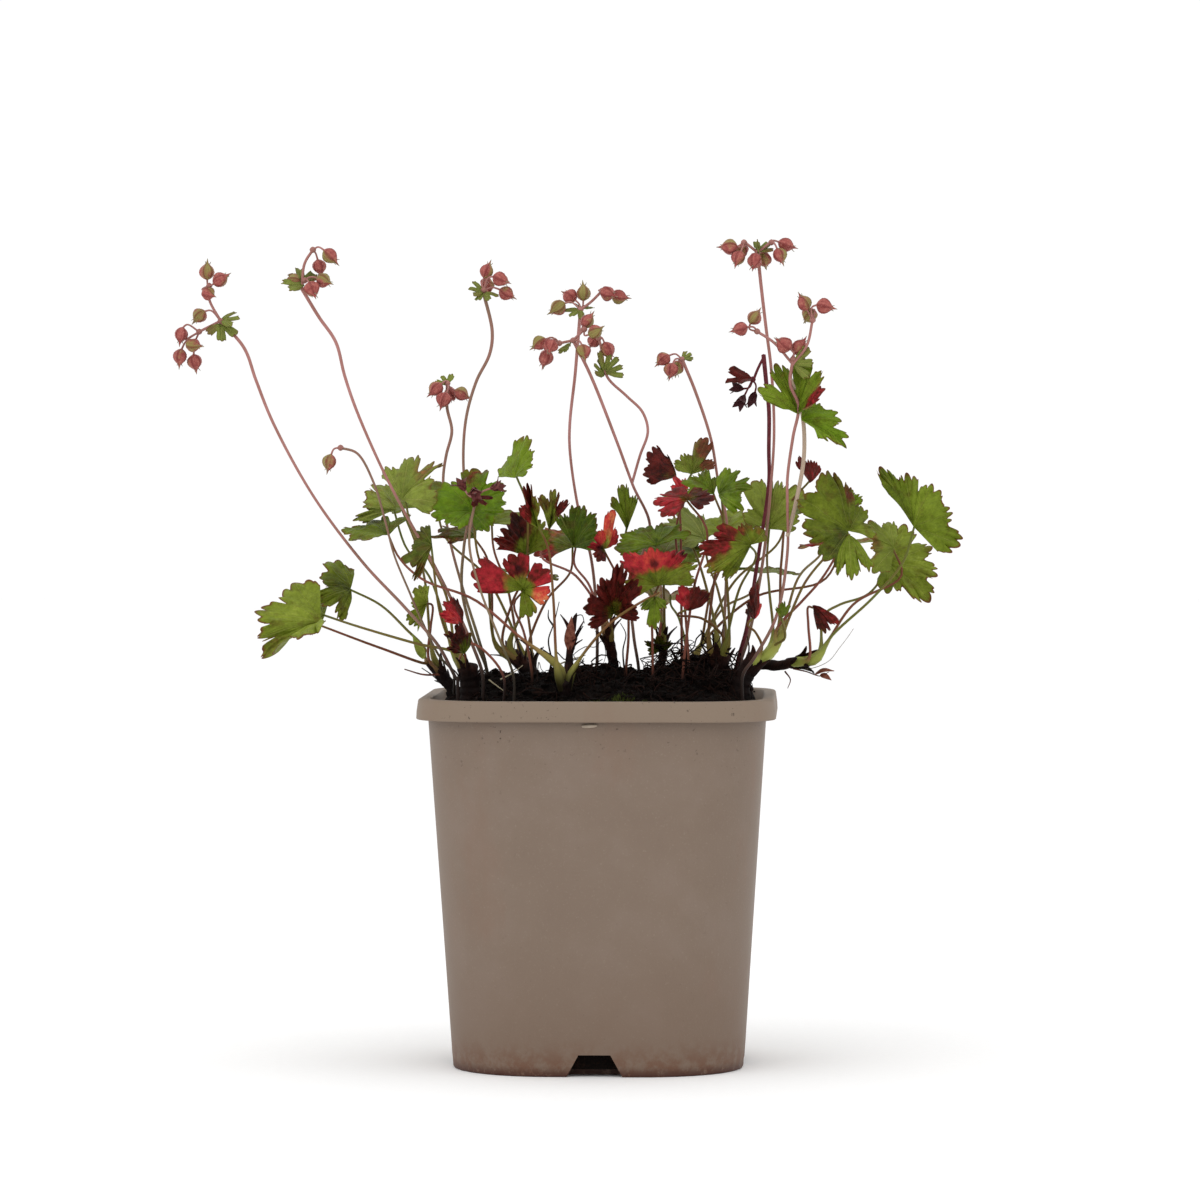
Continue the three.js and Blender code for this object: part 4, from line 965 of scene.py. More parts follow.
@dataclass(frozen=True)
class StalkShape:
    """Real thicknesses of the plant's stalks, as in the solids, and the heights of their feet and of their
    soil and painted shade.
    """

    petiole_foot: float = 0.56
    petiole_tip: float = 0.4
    sheath: float = 1.35
    sheath_share: float = 0.1
    stem_foot: float = 0.66
    stem_middle: float = 0.5
    stem_tip: float = 0.64
    branch: float = 0.5
    pedicel: float = 0.34
    knot: float = 1.15
    # The height where the stems' soil and painted shade fade out.
    stem_soil_and_shade: float = 166.0
    root_top: float = 144.0
    root_foot: float = 120.0

    def rooted(self, foot: tuple[float, float]) -> Route:
        """The upright stretch of a stalk that stands in the peat, from its top down."""
        x, y = foot
        return [(x, y, self.root_top), (x, y, (self.root_top + self.root_foot) / 2), (x, y, self.root_foot)]

    def petiole(self, leaf: Leaf, foot: Route | list[Array], flush: float, pale: float) -> Surface:
        """A petiole: from its foot past what it passes, leaning in to the blade from below.

        Its radius falls evenly from foot to tip, and swells to a sheath over its first stretch.

        Args:
            leaf: Whose petiole.
            foot: Its first points.
            flush: How red it is.
            pale: How pale its sheath is.
        Returns:
            The tube.
        """
        along, up, reach = leaf.axes()
        end = array(leaf.at) + 0.06 * reach * along - 0.25 * up
        route = [*foot, *leaf.via]
        if not leaf.via:
            start = array(foot[-1])
            span = float(np.linalg.norm(end - start))
            lean = array(leaf.at) - 0.16 * span * up - 0.14 * span * along
            knee = start + 0.45 * (lean - start) + np.array([0, 0, 0.12 * span])
            route += [knee, lean]
        path = smooth_route([*route, end], 30)
        t = np.linspace(0, 1, len(path))
        radii = self.petiole_foot + (self.petiole_tip - self.petiole_foot) * t
        share = self.sheath_share * (0.85 + 0.6 * pale)
        swell = 1 - smoothstep(0.5 * share, 1.9 * share, t)
        radii = radii + ((0.9 + 0.5 * pale) * self.sheath - self.petiole_foot) * swell
        surface = tube(path, radii)
        rise = surface.marks["rise"]
        green = 0.35 * smoothstep(0.86, 1, rise)
        sheath = pale * (1 - smoothstep(0.08, 0.3, rise))
        return self.soiled(surface.marked(flush=np.clip(flush - green, 0, 1), pale=sheath))

    def soiled(self, surface: Surface, top: float = 150.0) -> Surface:
        """The surface, marked with soil and painted shade: most in the peat, falling to 0 at the top given.
        Above the peat, under the leaves, the mark is painted shade.
        """
        return surface.marked(soil=0.96 * (1 - smoothstep(140, top, surface.points[:, 2])))


@dataclass(frozen=True)
class CalyxShape:
    """The closed calyx: an inflated bag with five ribs that ends in a beak of awns."""

    reach: float = 2.5
    sides: int = 30
    sepals: int = 5
    awns: int = 3
    furred: float = 0.3
    profile: tuple[tuple[float, float], ...] = (
        (-0.2, 0.5), (0.15, 1.2), (0.7, 1.95), (1.5, 2.5), (2.5, 2.75), (3.5, 2.6), (4.4, 2.1),
        (5.1, 1.4), (5.7, 0.75), (6.2, 0.42), (6.9, 0.24), (7.6, 0.12),
    )
    tip: float = 7.9

    def stance(self, at: Point, aim: Point) -> tuple[Array, Array]:
        """Which way a calyx points, and where its foot is."""
        axis = unit(np.subtract(aim, at).astype(float))
        return axis, array(at) - axis * self.reach

    def bag(self, at: Point, aim: Point, seed: float, size: float, dead: float) -> list[Surface]:
        """A calyx and its awns.

        Its radius follows the profile, times one plus a small cosine of five times the bearing for the
        ribs, and its beak bends a little to one side.

        Args:
            at: Its middle.
            aim: Where its beak points.
            seed: For its draws.
            size: Its size against the usual one.
            dead: How dark and dry it is, from 0 to 1.
        Returns:
            The bag and three awns.
        """
        axis, foot = self.stance(at, aim)
        side, other = across(axis, (0.31, 0.77, 0.23))
        profile = array(self.profile) * size
        angle = np.linspace(0, 2 * np.pi, self.sides, endpoint=False)
        turn = 6 * draw(seed, 1)
        rib = 0.5 + 0.5 * np.cos(self.sepals * (angle + turn))
        bulge = 1 + (0.18 * rib**2 - 0.08) * smoothstep(0.3, 1.5, profile[:, :1])
        squash = 1 + 0.07 * np.cos(2 * angle + 6 * draw(seed, 2))
        radius = profile[:, 1:] * bulge * squash
        bend = 0.55 * (draw(seed, 3) - 0.3) * smoothstep(4.4, 7.8, profile[:, 0] / size) * size
        centre = foot + axis * profile[:, :1] + side * bend[:, None] * 1.4
        rings = centre[:, None] + radius[..., None] * turned_by(side, other, angle)
        last = foot + axis * self.tip * size + side * bend[-1] * 1.6
        bag = loft(rings, foot - axis * 0.3, last)
        rise = np.append(np.repeat(profile[:, 0] / (self.tip * size), self.sides), [0, 1])
        ribs = np.append(np.tile(rib, len(profile)), [0, 0])
        green = np.append(np.tile(0.5 + 0.5 * np.cos(angle + 5 * draw(seed, 4)), len(profile)), [0, 0])
        vein = np.append(np.tile(np.arange(self.sides) % 2, len(profile)), [0, 0])
        green = green * (0.2 + 0.8 * draw(seed, 5))
        bag.marked(rise=rise, rib=ribs, vein=vein, green=green, dead=dead, hair=0)
        points = rings[1:9].reshape(-1, 3)
        out = unit(rings[1:9] - centre[1:9, None]).reshape(-1, 3)
        pick = draw(seed, np.arange(len(points))) < self.furred
        fur = hairs(points[pick], out[pick] + 0.4 * axis, 0.6 * size, seed)
        awns = []
        for k in range(self.awns):
            out = turned_by(side, other, 2.1 * k + turn)
            start = foot + axis * 5.2 * size + out * 0.5 * size
            length, spread = 1.0 + 0.7 * draw(seed, 12 + k), 0.5 + 0.6 * draw(seed, 6 + k)
            end = start + axis * length * size + out * spread * size
            path = np.linspace(start, end, 4) + out * 0.12 * np.array([0, 1, 1, 0])[:, None]
            awn = tube(path, np.array([0.26, 0.2, 0.14, 0.08]) * size, 5)
            awns.append(awn.marked(rise=1, rib=0, green=0.4, dead=dead, hair=0))
        return [bag, *awns, fur.marked(rise=0.5, rib=0, green=0, dead=dead, hair=0.8)]

    def dried(self, at: Point, aim: Point, seed: float, dead: float) -> list[Surface]:
        """A calyx that has shed its fruit: five dry sepals, spread and curled, round a short stub.

        Args:
            at: Its middle.
            aim: Where it opens to.
            seed: For its draws.
            dead: How dark and dry it is.
        Returns:
            The stub and the sepals.
        """
        axis, foot = self.stance(at, aim)
        side, other = across(axis, (0.31, 0.77, 0.23))
        stub = tube(foot + np.outer((-0.3, 0.5, 1.1, 1.7), axis), np.array([0.45, 0.8, 0.7, 0.25]), 7)
        pieces = [stub.marked(rib=0.4)]
        for k in range(self.sepals):
            out = turned_by(side, other, 1.257 * k + 6 * draw(seed, 1) + 0.5 * draw(seed, 10 + k))
            length = (5.0 + 1.6 * draw(seed, 20 + k)) * (0.85 + 0.3 * dead)
            spread = 0.2 + 0.45 * draw(seed, 30 + k)
            tip = foot + length * (axis * (1.05 - 0.7 * spread) + out * spread)
            elbow = foot + length * (0.42 * axis + 0.5 * spread * out)
            path = smooth_route([foot, elbow, tip], 7)
            half = 1.5 * np.array([0.5, 0.9, 1, 0.95, 0.75, 0.45, 0.08])
            pieces.append(strap(path, half, -out, 0.13, 0.35).marked(rib=0.7 * draw(seed, k)))
        return [piece.marked(green=0, dead=dead, hair=0) for piece in pieces]

    def pedicel(self, start: Point, at: Point, aim: Point, radius: float) -> Surface:
        """A pedicel: a thin tube that leaves its stem and bends over into the calyx's axis.

        Args:
            start: Where it leaves its stem.
            at: The calyx's middle.
            aim: Where the calyx points.
            radius: Its own radius.
        Returns:
            The tube.
        """
        axis, foot = self.stance(at, aim)
        foot = foot + axis * 0.3
        bend = foot - axis * 2.4
        bend = bend + (array(start) - bend) * 0.25
        path = smooth_route([start, bend, foot], 12)
        radii = radius * (1 + 0.25 * np.linspace(-1, 1, 12) ** 2)
        return tube(path, radii, 7).marked(flush=0.85, pale=0)


@dataclass(frozen=True)
class Head:
    """Where some pedicels part, and each bud's middle and the point that its awns aim at."""

    start: Point
    buds: list[tuple[Point, Point]]


@dataclass(frozen=True)
class Bract:
    """A small lobed bract under a flower head: its foot, its tip and roughly where it faces."""

    at: Point
    tip: Point
    face: Point = (0, -0.6, 0.8)
    lobes: int = 3


@dataclass(frozen=True)
class FlowerStem:
    """A stem from its head down to its foot, its branches, heads, bracts and leaves.

    beige is the number of a branch that is thick and has lost its colour.
    """

    node: str
    route: Route
    foot: tuple[float, float]
    heads: list[Head]
    branches: list[Route] = field(default_factory=list)
    bracts: list[Bract] = field(default_factory=list)
    leaves: list[Leaf] = field(default_factory=list)
    flush: float = 0.85
    dead: float = 0.0
    width: float = 1.0
    beige: int = -1


@dataclass(frozen=True)
class Crown:
    """A rooted crown: its rhizome from the peat to its top, its thickness there, and its leaves.

    flush is how red its petioles are, scales how many old stipules it has, slim its thickness at the top
    as a share, and sheath how pale and wide its petioles' feet are.
    """

    node: str
    rhizome: Route
    thickness: float
    leaves: list[Leaf]
    flush: float = 0.3
    scales: int = 7
    slim: float = 0.7
    sheath: float = 0.25

    def top(self) -> tuple[Array, Array]:
        """The rhizome's top, and which way it points there."""
        top, below = array(self.rhizome[-1]), array(self.rhizome[-2])
        return top, unit(top - below)


@dataclass(frozen=True)
class LoneLeaf:
    """A leaf whose petiole stands in the peat by itself."""

    node: str
    foot: tuple[float, float]
    leaf: Leaf


# The plant as it stands: each crown, its rhizome from the peat to its top, its thickness and its leaves
CROWNS = [
    Crown("crown_a", [(-53, -8, 120), (-53, -8, 135), (-59, -8, 145)], 2.6, [
        Leaf(1, (-99, -44, 163), [(-111, -28, 177), (-124, -42, 166), (-122, -52, 157), (-120, -58, 150),
            (-102, -66, 159)], Look(Hue.OLIVE, (0.1, 0.15, 0.2, 0.4, 0.1), rim=1), via=[(-63, -10, 147),
            (-79, -22, 153)]),
        Leaf(2, (-92, 2, 174), [(-98, 14, 184), (-102, -8, 176), (-103, -18, 170), (-96, -12, 163)],
            Look(Hue.MID, (0.2, 0.1, 0.1, 0.35), heat=0.3, rim=1), via=[(-64, -5, 152), (-71, -2, 159),
            (-81, 2, 168)]),
        Leaf(3, (-63, -10, 169), [(-66, -6, 176), (-69, -12, 169), (-70, -12, 161)], Look(Hue.YELLOW,
            rim=0.3), cleft=0.9),
        round_leaf(4, (-75, 34, 203), (-84, 47, 208), (-0.2, 0.2, 1), Look(Hue.MID)),
    ]),
    Crown("crown_b", [(-46, -28, 120), (-46, -28, 138), (-47, -30, 147)], 4.6, [
        Leaf(5, (-100, -16, 165), [(-107, -2, 171), (-109, -28, 167), (-108, -32, 159)], Look(Hue.OLIVE,
            (0.4, 0.25, 0.2), heat=0.35, rim=1, pale=0.2), via=[(-66, -28, 155), (-87, -26, 161)]),
        Leaf(6, (-72, -12, 207), [(-57, -24, 206), (-60, -16, 215), (-57, -4, 221), (-70, 4, 223),
            (-79, 2, 219)], Look(Hue.OLIVE, (0.1, 0.2, 0.6, 0.2, 0.25), heat=0.4, pale=0.35),
            via=[(-55, -24, 172), (-62, -20, 186), (-68, -16, 196)]),
        Leaf(7, (-76, 12, 203), [(-84, 24, 213), (-88, 12, 210), (-88, 2, 204), (-91, -4, 199)],
            Look(Hue.OLIVE, (0.3, 0.4, 0.35, 0.2), heat=0.35, rim=1, pale=0.35)),
        Leaf(8, (-58, -55, 191), [(-63, -44, 198), (-65, -50, 193), (-65, -64, 183), (-64, -68, 178)],
            Look(Hue.DARK, (0.3, 0.25, 0.35, 0.55), heat=0.25), via=[(-56, -42, 166)], cleft=0.7),
        Leaf(9, (-47, -50, 152), [(-45, -48, 160), (-50, -58, 163), (-53, -62, 160), (-52, -63, 155)],
            Look(Hue.DARK, (0.6, 0.95, 1, 0.8), core=0.2, heat=0.1)),
    ]),
    Crown("crown_c", [(-24, 3, 120), (-24, 3, 140), (-33, 5, 150)], 3.4, [
        Leaf(10, (-45, -34, 203), [(-38, -48, 196), (-32, -44, 203), (-33, -32, 213), (-45, -20, 219),
            (-56, -26, 214), (-60, -40, 201), (-52, -48, 197)], Look(Hue.BRIGHT,
            (0.1, 0, 0.15, 0.55, 0.1, 0, 0), fresh=0.95, heat=0.3, rim=0.4)),
        Leaf(11, (-45, -8, 193), [(-50, 12, 197), (-59, 10, 196), (-64, -2, 193), (-56, -12, 191)],
            Look(Hue.DARK, (0.6, 0.5, 0.45, 0.6), heat=0.25)),
        Leaf(12, (-30, -26, 215), [(-23, -36, 219), (-22, -30, 225), (-27, -18, 231), (-35, -12, 221)],
            Look(Hue.YELLOW, (0.1, 0.1, 0.35, 0.2), fresh=0.65, heat=0.35), via=[(-27, 0, 170),
            (-26, -12, 190), (-26, -20, 206)]),
        Leaf(13, (-27, -2, 186), [(-17, -10, 194), (-22, 4, 200), (-32, -2, 203), (-36, -12, 197),
            (-39, -18, 193)], Look(Hue.OLIVE, (0.2, 0.4, 1, 0.9, 0.95), heat=(0.2, 0.2, 0.1, 0.15, 0.3))),
    ]),
    Crown("crown_d", [(-11, -44, 120), (-11, -44, 135), (-11, -46, 142)], 3, [
        Leaf(14, (-77, -8, 194), [(-72, 6, 201), (-84, 10, 199), (-95, 0, 196), (-90, -20, 192)],
            Look(Hue.MID, (0.35, 0.2, 0.2, 0.4), fresh=0.4), via=[(-27, -47, 158), (-43, -44, 171),
            (-63, -28, 178), (-73, -15, 186)]),
        Leaf(15, (-20, -52, 197), [(-20, -60, 209), (-24, -50, 214), (-27, -58, 205)], Look(Hue.OLIVE,
            (0.45, 0.8, 0.85), heat=(0.15, 0.2, 0.35))),
        Leaf(16, (22, -58, 173), [(17, -62, 168), (22, -66, 161), (26, -64, 169)], Look(Hue.DARK,
            (0.1, 0.1, 0.3), fresh=0.5)),
    ], sheath=0.6),
    Crown("crown_e", [(5, 9, 120), (5, 9, 142), (3, 0, 158)], 2.4, [
        Leaf(17, (-20, 26, 195), [(-13, 30, 207), (-18, 34, 211), (-23, 26, 209)], Look(Hue.OLIVE,
            (0.95, 0.5, 0.55), heat=(0.3, 0.2, 0.2), spots=((1.6, 0.3, 2.4),))),
        Leaf(18, (-10, 10, 189), [(0, 0, 193), (-1, 8, 202), (-9, 20, 205), (-16, 18, 202)], Look(Hue.DARK,
            (0.2, 0, 0, 0.1), fresh=0.7)),
        Leaf(19, (6, -31, 166), [(16, -42, 167), (16, -44, 179), (10, -44, 185), (2, -40, 180),
            (-5, -46, 169), (-3, -42, 162)], Look(Hue.MID, (1, 1, 1, 0.95, 1, 1), core=0.45), cleft=0.72),
    ], flush=0.7),
    Crown("crown_f", [(22, 22, 120), (22, 22, 142), (23, 19, 156)], 1.9, [
        Leaf(20, (9, 28, 195), [(12, 34, 209), (7, 36, 213), (3, 30, 208)], Look(Hue.MID, (0.3, 0.1, 0.2),
            fresh=0.45)),
        Leaf(21, (21, -6, 190), [(34, -4, 195), (25, 10, 198), (14, 8, 197), (7, 0, 194), (5, -12, 188)],
            Look(Hue.MID, fresh=0.6)),
        round_leaf(22, (22, 62, 186), (26, 79, 194), (0.1, 0.3, 1), Look(Hue.DARK)),
        Leaf(49, (22, 10, 151), [(26, 4, 155), (21, 0, 157), (16, 2, 155), (17, 0, 151)], Look(Hue.DARK,
            (0.3, 0.5, 0.2, 0.2), heat=0.1)),
    ]),
    Crown("crown_g", [(43, -3, 120), (43, -3, 143), (44, -4, 151)], 5, [
        Leaf(23, (42, -8, 209), [(43, -2, 216), (37, 4, 218), (32, 2, 215), (32, -14, 209)], Look(Hue.MID,
            fresh=0.65, rim=0.4)),
        Leaf(24, (33, 30, 216), [(42, 34, 221), (39, 38, 230), (30, 34, 224), (26, 26, 220)], Look(Hue.MID,
            (0.9, 0.8, 0.1, 0.1), heat=0.3, pale=0.15)),
        Leaf(25, (44, -22, 209), [(53, -40, 204), (56, -36, 212), (52, -24, 218), (47, -16, 219)],
            Look(Hue.BRIGHT, fresh=0.7, rim=0.3)),
        Leaf(26, (38, 20, 192), [(36, 32, 201), (29, 34, 204), (22, 26, 199), (29, 12, 190)], Look(Hue.MID,
            pale=0.75, rim=0.3)),
        Leaf(27, (56, -34, 191), [(61, -28, 196), (52, -34, 199), (42, -42, 195), (36, -48, 190),
            (39, -52, 180), (46, -50, 178)], Look(Hue.MID, (0.35, 0.55, 0.85, 0.95, 0.4, 0.3), heat=0.36)),
        Leaf(28, (33, -32, 167), [(41, -30, 174), (36, -36, 177), (30, -42, 176)], Look(Hue.DARK, (1, 1, 1),
            core=0.9, heat=(0.2, 0.25, 0.55))),
    ]),
    Crown("crown_h", [(52, -22, 120), (52, -22, 140), (58, -22, 150)], 4.4, [
        Leaf(29, (62, 4, 196), [(74, -2, 199), (72, 12, 213), (65, 16, 215), (57, 14, 215), (52, 2, 202)],
            Look(Hue.YELLOW, (0.2, 0.2, 0.3, 0.2, 0.2), pale=0.25)),
        Leaf(30, (91, -34, 196), [(101, -26, 196), (96, -22, 205), (90, -22, 214), (84, -24, 219),
            (72, -34, 208), (74, -46, 195), (82, -54, 184)], Look(Hue.MID,
            (0.1, 0.2, 0.6, 0.35, 0.15, 0.3, 0.1), heat=0.28), via=[(65, -22, 160), (74, -22, 170),
            (81, -26, 178), (87, -31, 188)]),
        Leaf(31, (91, -50, 195), [(87, -62, 180), (92, -66, 179), (99, -58, 182)], Look(Hue.MID,
            (0.2, 0.2, 0.2), fresh=0.4), cleft=0.6),
        Leaf(32, (87, 22, 202), [(97, 22, 208), (92, 28, 211), (87, 30, 215), (81, 26, 215)],
            Look(Hue.BRIGHT, fresh=0.7)),
        Leaf(33, (57, -36, 164), [(59, -32, 171), (57, -40, 178), (54, -44, 170)], Look(Hue.DARK,
            (1, 0.9, 1), core=1, heat=(0.65, 0.15, 0.08))),
        Leaf(34, (67, -42, 165), [(70, -44, 170), (67, -48, 171), (65, -46, 169)], Look(Hue.MID, fresh=0.6),
            via=[(68, -30, 157)]),
        Leaf(48, (77, -2, 213), [(80, 2, 221), (76, -4, 222), (72, -10, 223)], Look(Hue.OLIVE, (1, 1, 1),
            core=0.9, heat=0.3)),
    ], sheath=1.0),
    Crown("crown_i", [(51, 18, 120), (51, 18, 132), (51, 18, 142), (57, 10, 146), (66, 1, 146),
        (74, -5, 148)], 2.8, [
        Leaf(35, (115, -4, 197), [(132.3, -16, 190), (130, -8, 202), (122, 2, 213), (112, 8, 217),
            (102, 8, 220)], Look(Hue.OLIVE, (0.15, 0.1, 0.1, 0.1, 0.2), fresh=0.45, rim=1),
            via=[(85, -6, 157), (100, -6, 171), (111, -5, 184)]),
        Leaf(36, (106, 22, 183), [(106, 8, 172), (122, 12, 169), (125, 18, 179), (123, 26, 189),
            (113, 34, 197)], Look(Hue.YELLOW, (0.25, 0.2, 0.1, 0.1, 0.2), rim=1), via=[(82, 4, 164),
            (88, 12, 168), (99, 20, 172)]),
        Leaf(37, (108, 9, 189), [(106, 19, 199), (98, 15, 199), (99, 7, 189), (100, 0, 180)],
            Look(Hue.OLIVE, (0.2, 0.35, 0.6, 0.2), heat=0.4, pale=0.25)),
        Leaf(38, (78, -31, 169), [(83, -42, 159), (88, -38, 162)], Look(Hue.DARK, (0.75, 1), core=0.85,
            heat=(0.15, 0.35)), cleft=0.3),
    ], slim=0.45, sheath=1.0),
    Crown("crown_j", [(-28, 42, 120), (-28, 42, 137), (-29, 43, 146)], 4.2, [
        round_leaf(39, (-64, 59, 206), (-75, 73, 212), (-0.2, 0.1, 1), Look(Hue.MID)),
        round_leaf(40, (-43, 58, 197), (-47, 75, 203), (-0.1, 0.3, 1), Look(Hue.OLIVE)),
        round_leaf(41, (-13, 64, 188), (-11, 81, 195), (0, 0.3, 1), Look(Hue.DARK, (0.1, 0.4, 0.7),
            heat=0.4)),
        round_leaf(42, (-32, 68, 177), (-35, 85, 176), (0, 0.5, 0.9), Look(Hue.MID)),
    ]),
    Crown("crown_k", [(30, 46, 120), (30, 46, 137), (31, 47, 146)], 4.2, [
        round_leaf(43, (45, 62, 194), (51, 78, 202), (0.1, 0.2, 1), Look(Hue.OLIVE)),
        round_leaf(44, (68, 54, 202), (80, 66, 209), (0.2, 0.1, 1), Look(Hue.MID)),
        round_leaf(45, (88, 48, 188), (103, 58, 190), (0.3, 0.2, 1), Look(Hue.OLIVE, (0.6, 0.3, 0.7),
            heat=0.5)),
        round_leaf(46, (58, 74, 178), (65, 90, 176), (0.2, 0.5, 0.9), Look(Hue.MID)),
        round_leaf(47, (24, 76, 170), (22, 93, 168), (0, 0.5, 0.9), Look(Hue.OLIVE, core=0.6, heat=0.4)),
    ]),
]

RED_LEAVES = [
    LoneLeaf("red_leaf_a", (-24, -22), Leaf(51, (-27, -24, 174), [(-24, -34, 164), (-17, -30, 171),
        (-17, -22, 182), (-32, -22, 188), (-46, -35, 181)], Look(Hue.OLIVE, (0.12, 0.95, 1, 1, 0.95),
        core=0.12, heat=(0.85, 0.92, 0.42, 0.35, 0.55), spots=((3.45, 0.55, 2.4),)), cleft=0.3)),
    LoneLeaf("red_leaf_b", (10, -14), Leaf(52, (2, -16, 189), [(7, -8, 196), (5, -16, 204), (0, -22, 196),
        (-4, -22, 190), (0, -26, 185)], Look(Hue.YELLOW, (0.95, 0.8, 0.95, 1, 1), core=0.4,
        heat=(0.6, 0.9, 0.7, 0.5, 0.2), spots=((3.9, 0.3, 2.6),)), via=[(11, -15, 158), (10, -16, 172)],
        cleft=0.6)),
    LoneLeaf("red_leaf_c", (20, -20), Leaf(53, (22, -25, 176), [(36, -32, 178), (37, -24, 184),
        (32, -18, 189), (19, -18, 190), (9, -22, 188), (9, -30, 175)], Look(Hue.OLIVE,
        (0.1, 0.15, 0.95, 0.95, 1, 0.4), core=0.12, heat=(0.5, 0.5, 0.5, 0.8, 0.62, 0.2),
        spots=((3.5, 0.52, 2.8), (2.4, 0.86, 2.3))))),
    LoneLeaf("red_leaf_d", (31, -22), Leaf(54, (33, -29, 207), [(41, -38, 205), (40, -24, 211),
        (24, -20, 210), (20, -32, 206), (23, -40, 201)], Look(Hue.DARK, (0.9, 0.6, 0.85, 1, 1), core=0.55,
        heat=(0.15, 0.2, 0.35, 0.5, 0.42)), cleft=0.3)),
    LoneLeaf("red_leaf_e", (33, -10), Leaf(55, (31, 2, 207), [(31, 6, 215), (27, 4, 216), (26, -4, 211)],
        Look(Hue.MID, (1, 1, 1), core=1, heat=0.62))),
    LoneLeaf("red_leaf_f", (30, 5), Leaf(56, (28, 8, 215), [(23, 14, 224), (19, 14, 227), (15, 4, 216)],
        Look(Hue.DARK, (1, 1, 0.9), core=0.6, heat=(0.08, 0.22, 0.15)))),
    LoneLeaf("red_leaf_g", (-33, -47), Leaf(57, (-48, -44, 162), [(-52, -41, 173), (-55, -52, 170),
        (-55, -58, 166)], Look(Hue.MID, (1, 1, 1), core=0.95, heat=(0.2, 0.6, 0.62),
        spots=((0.4, 0.95, 3.5),)))),
]

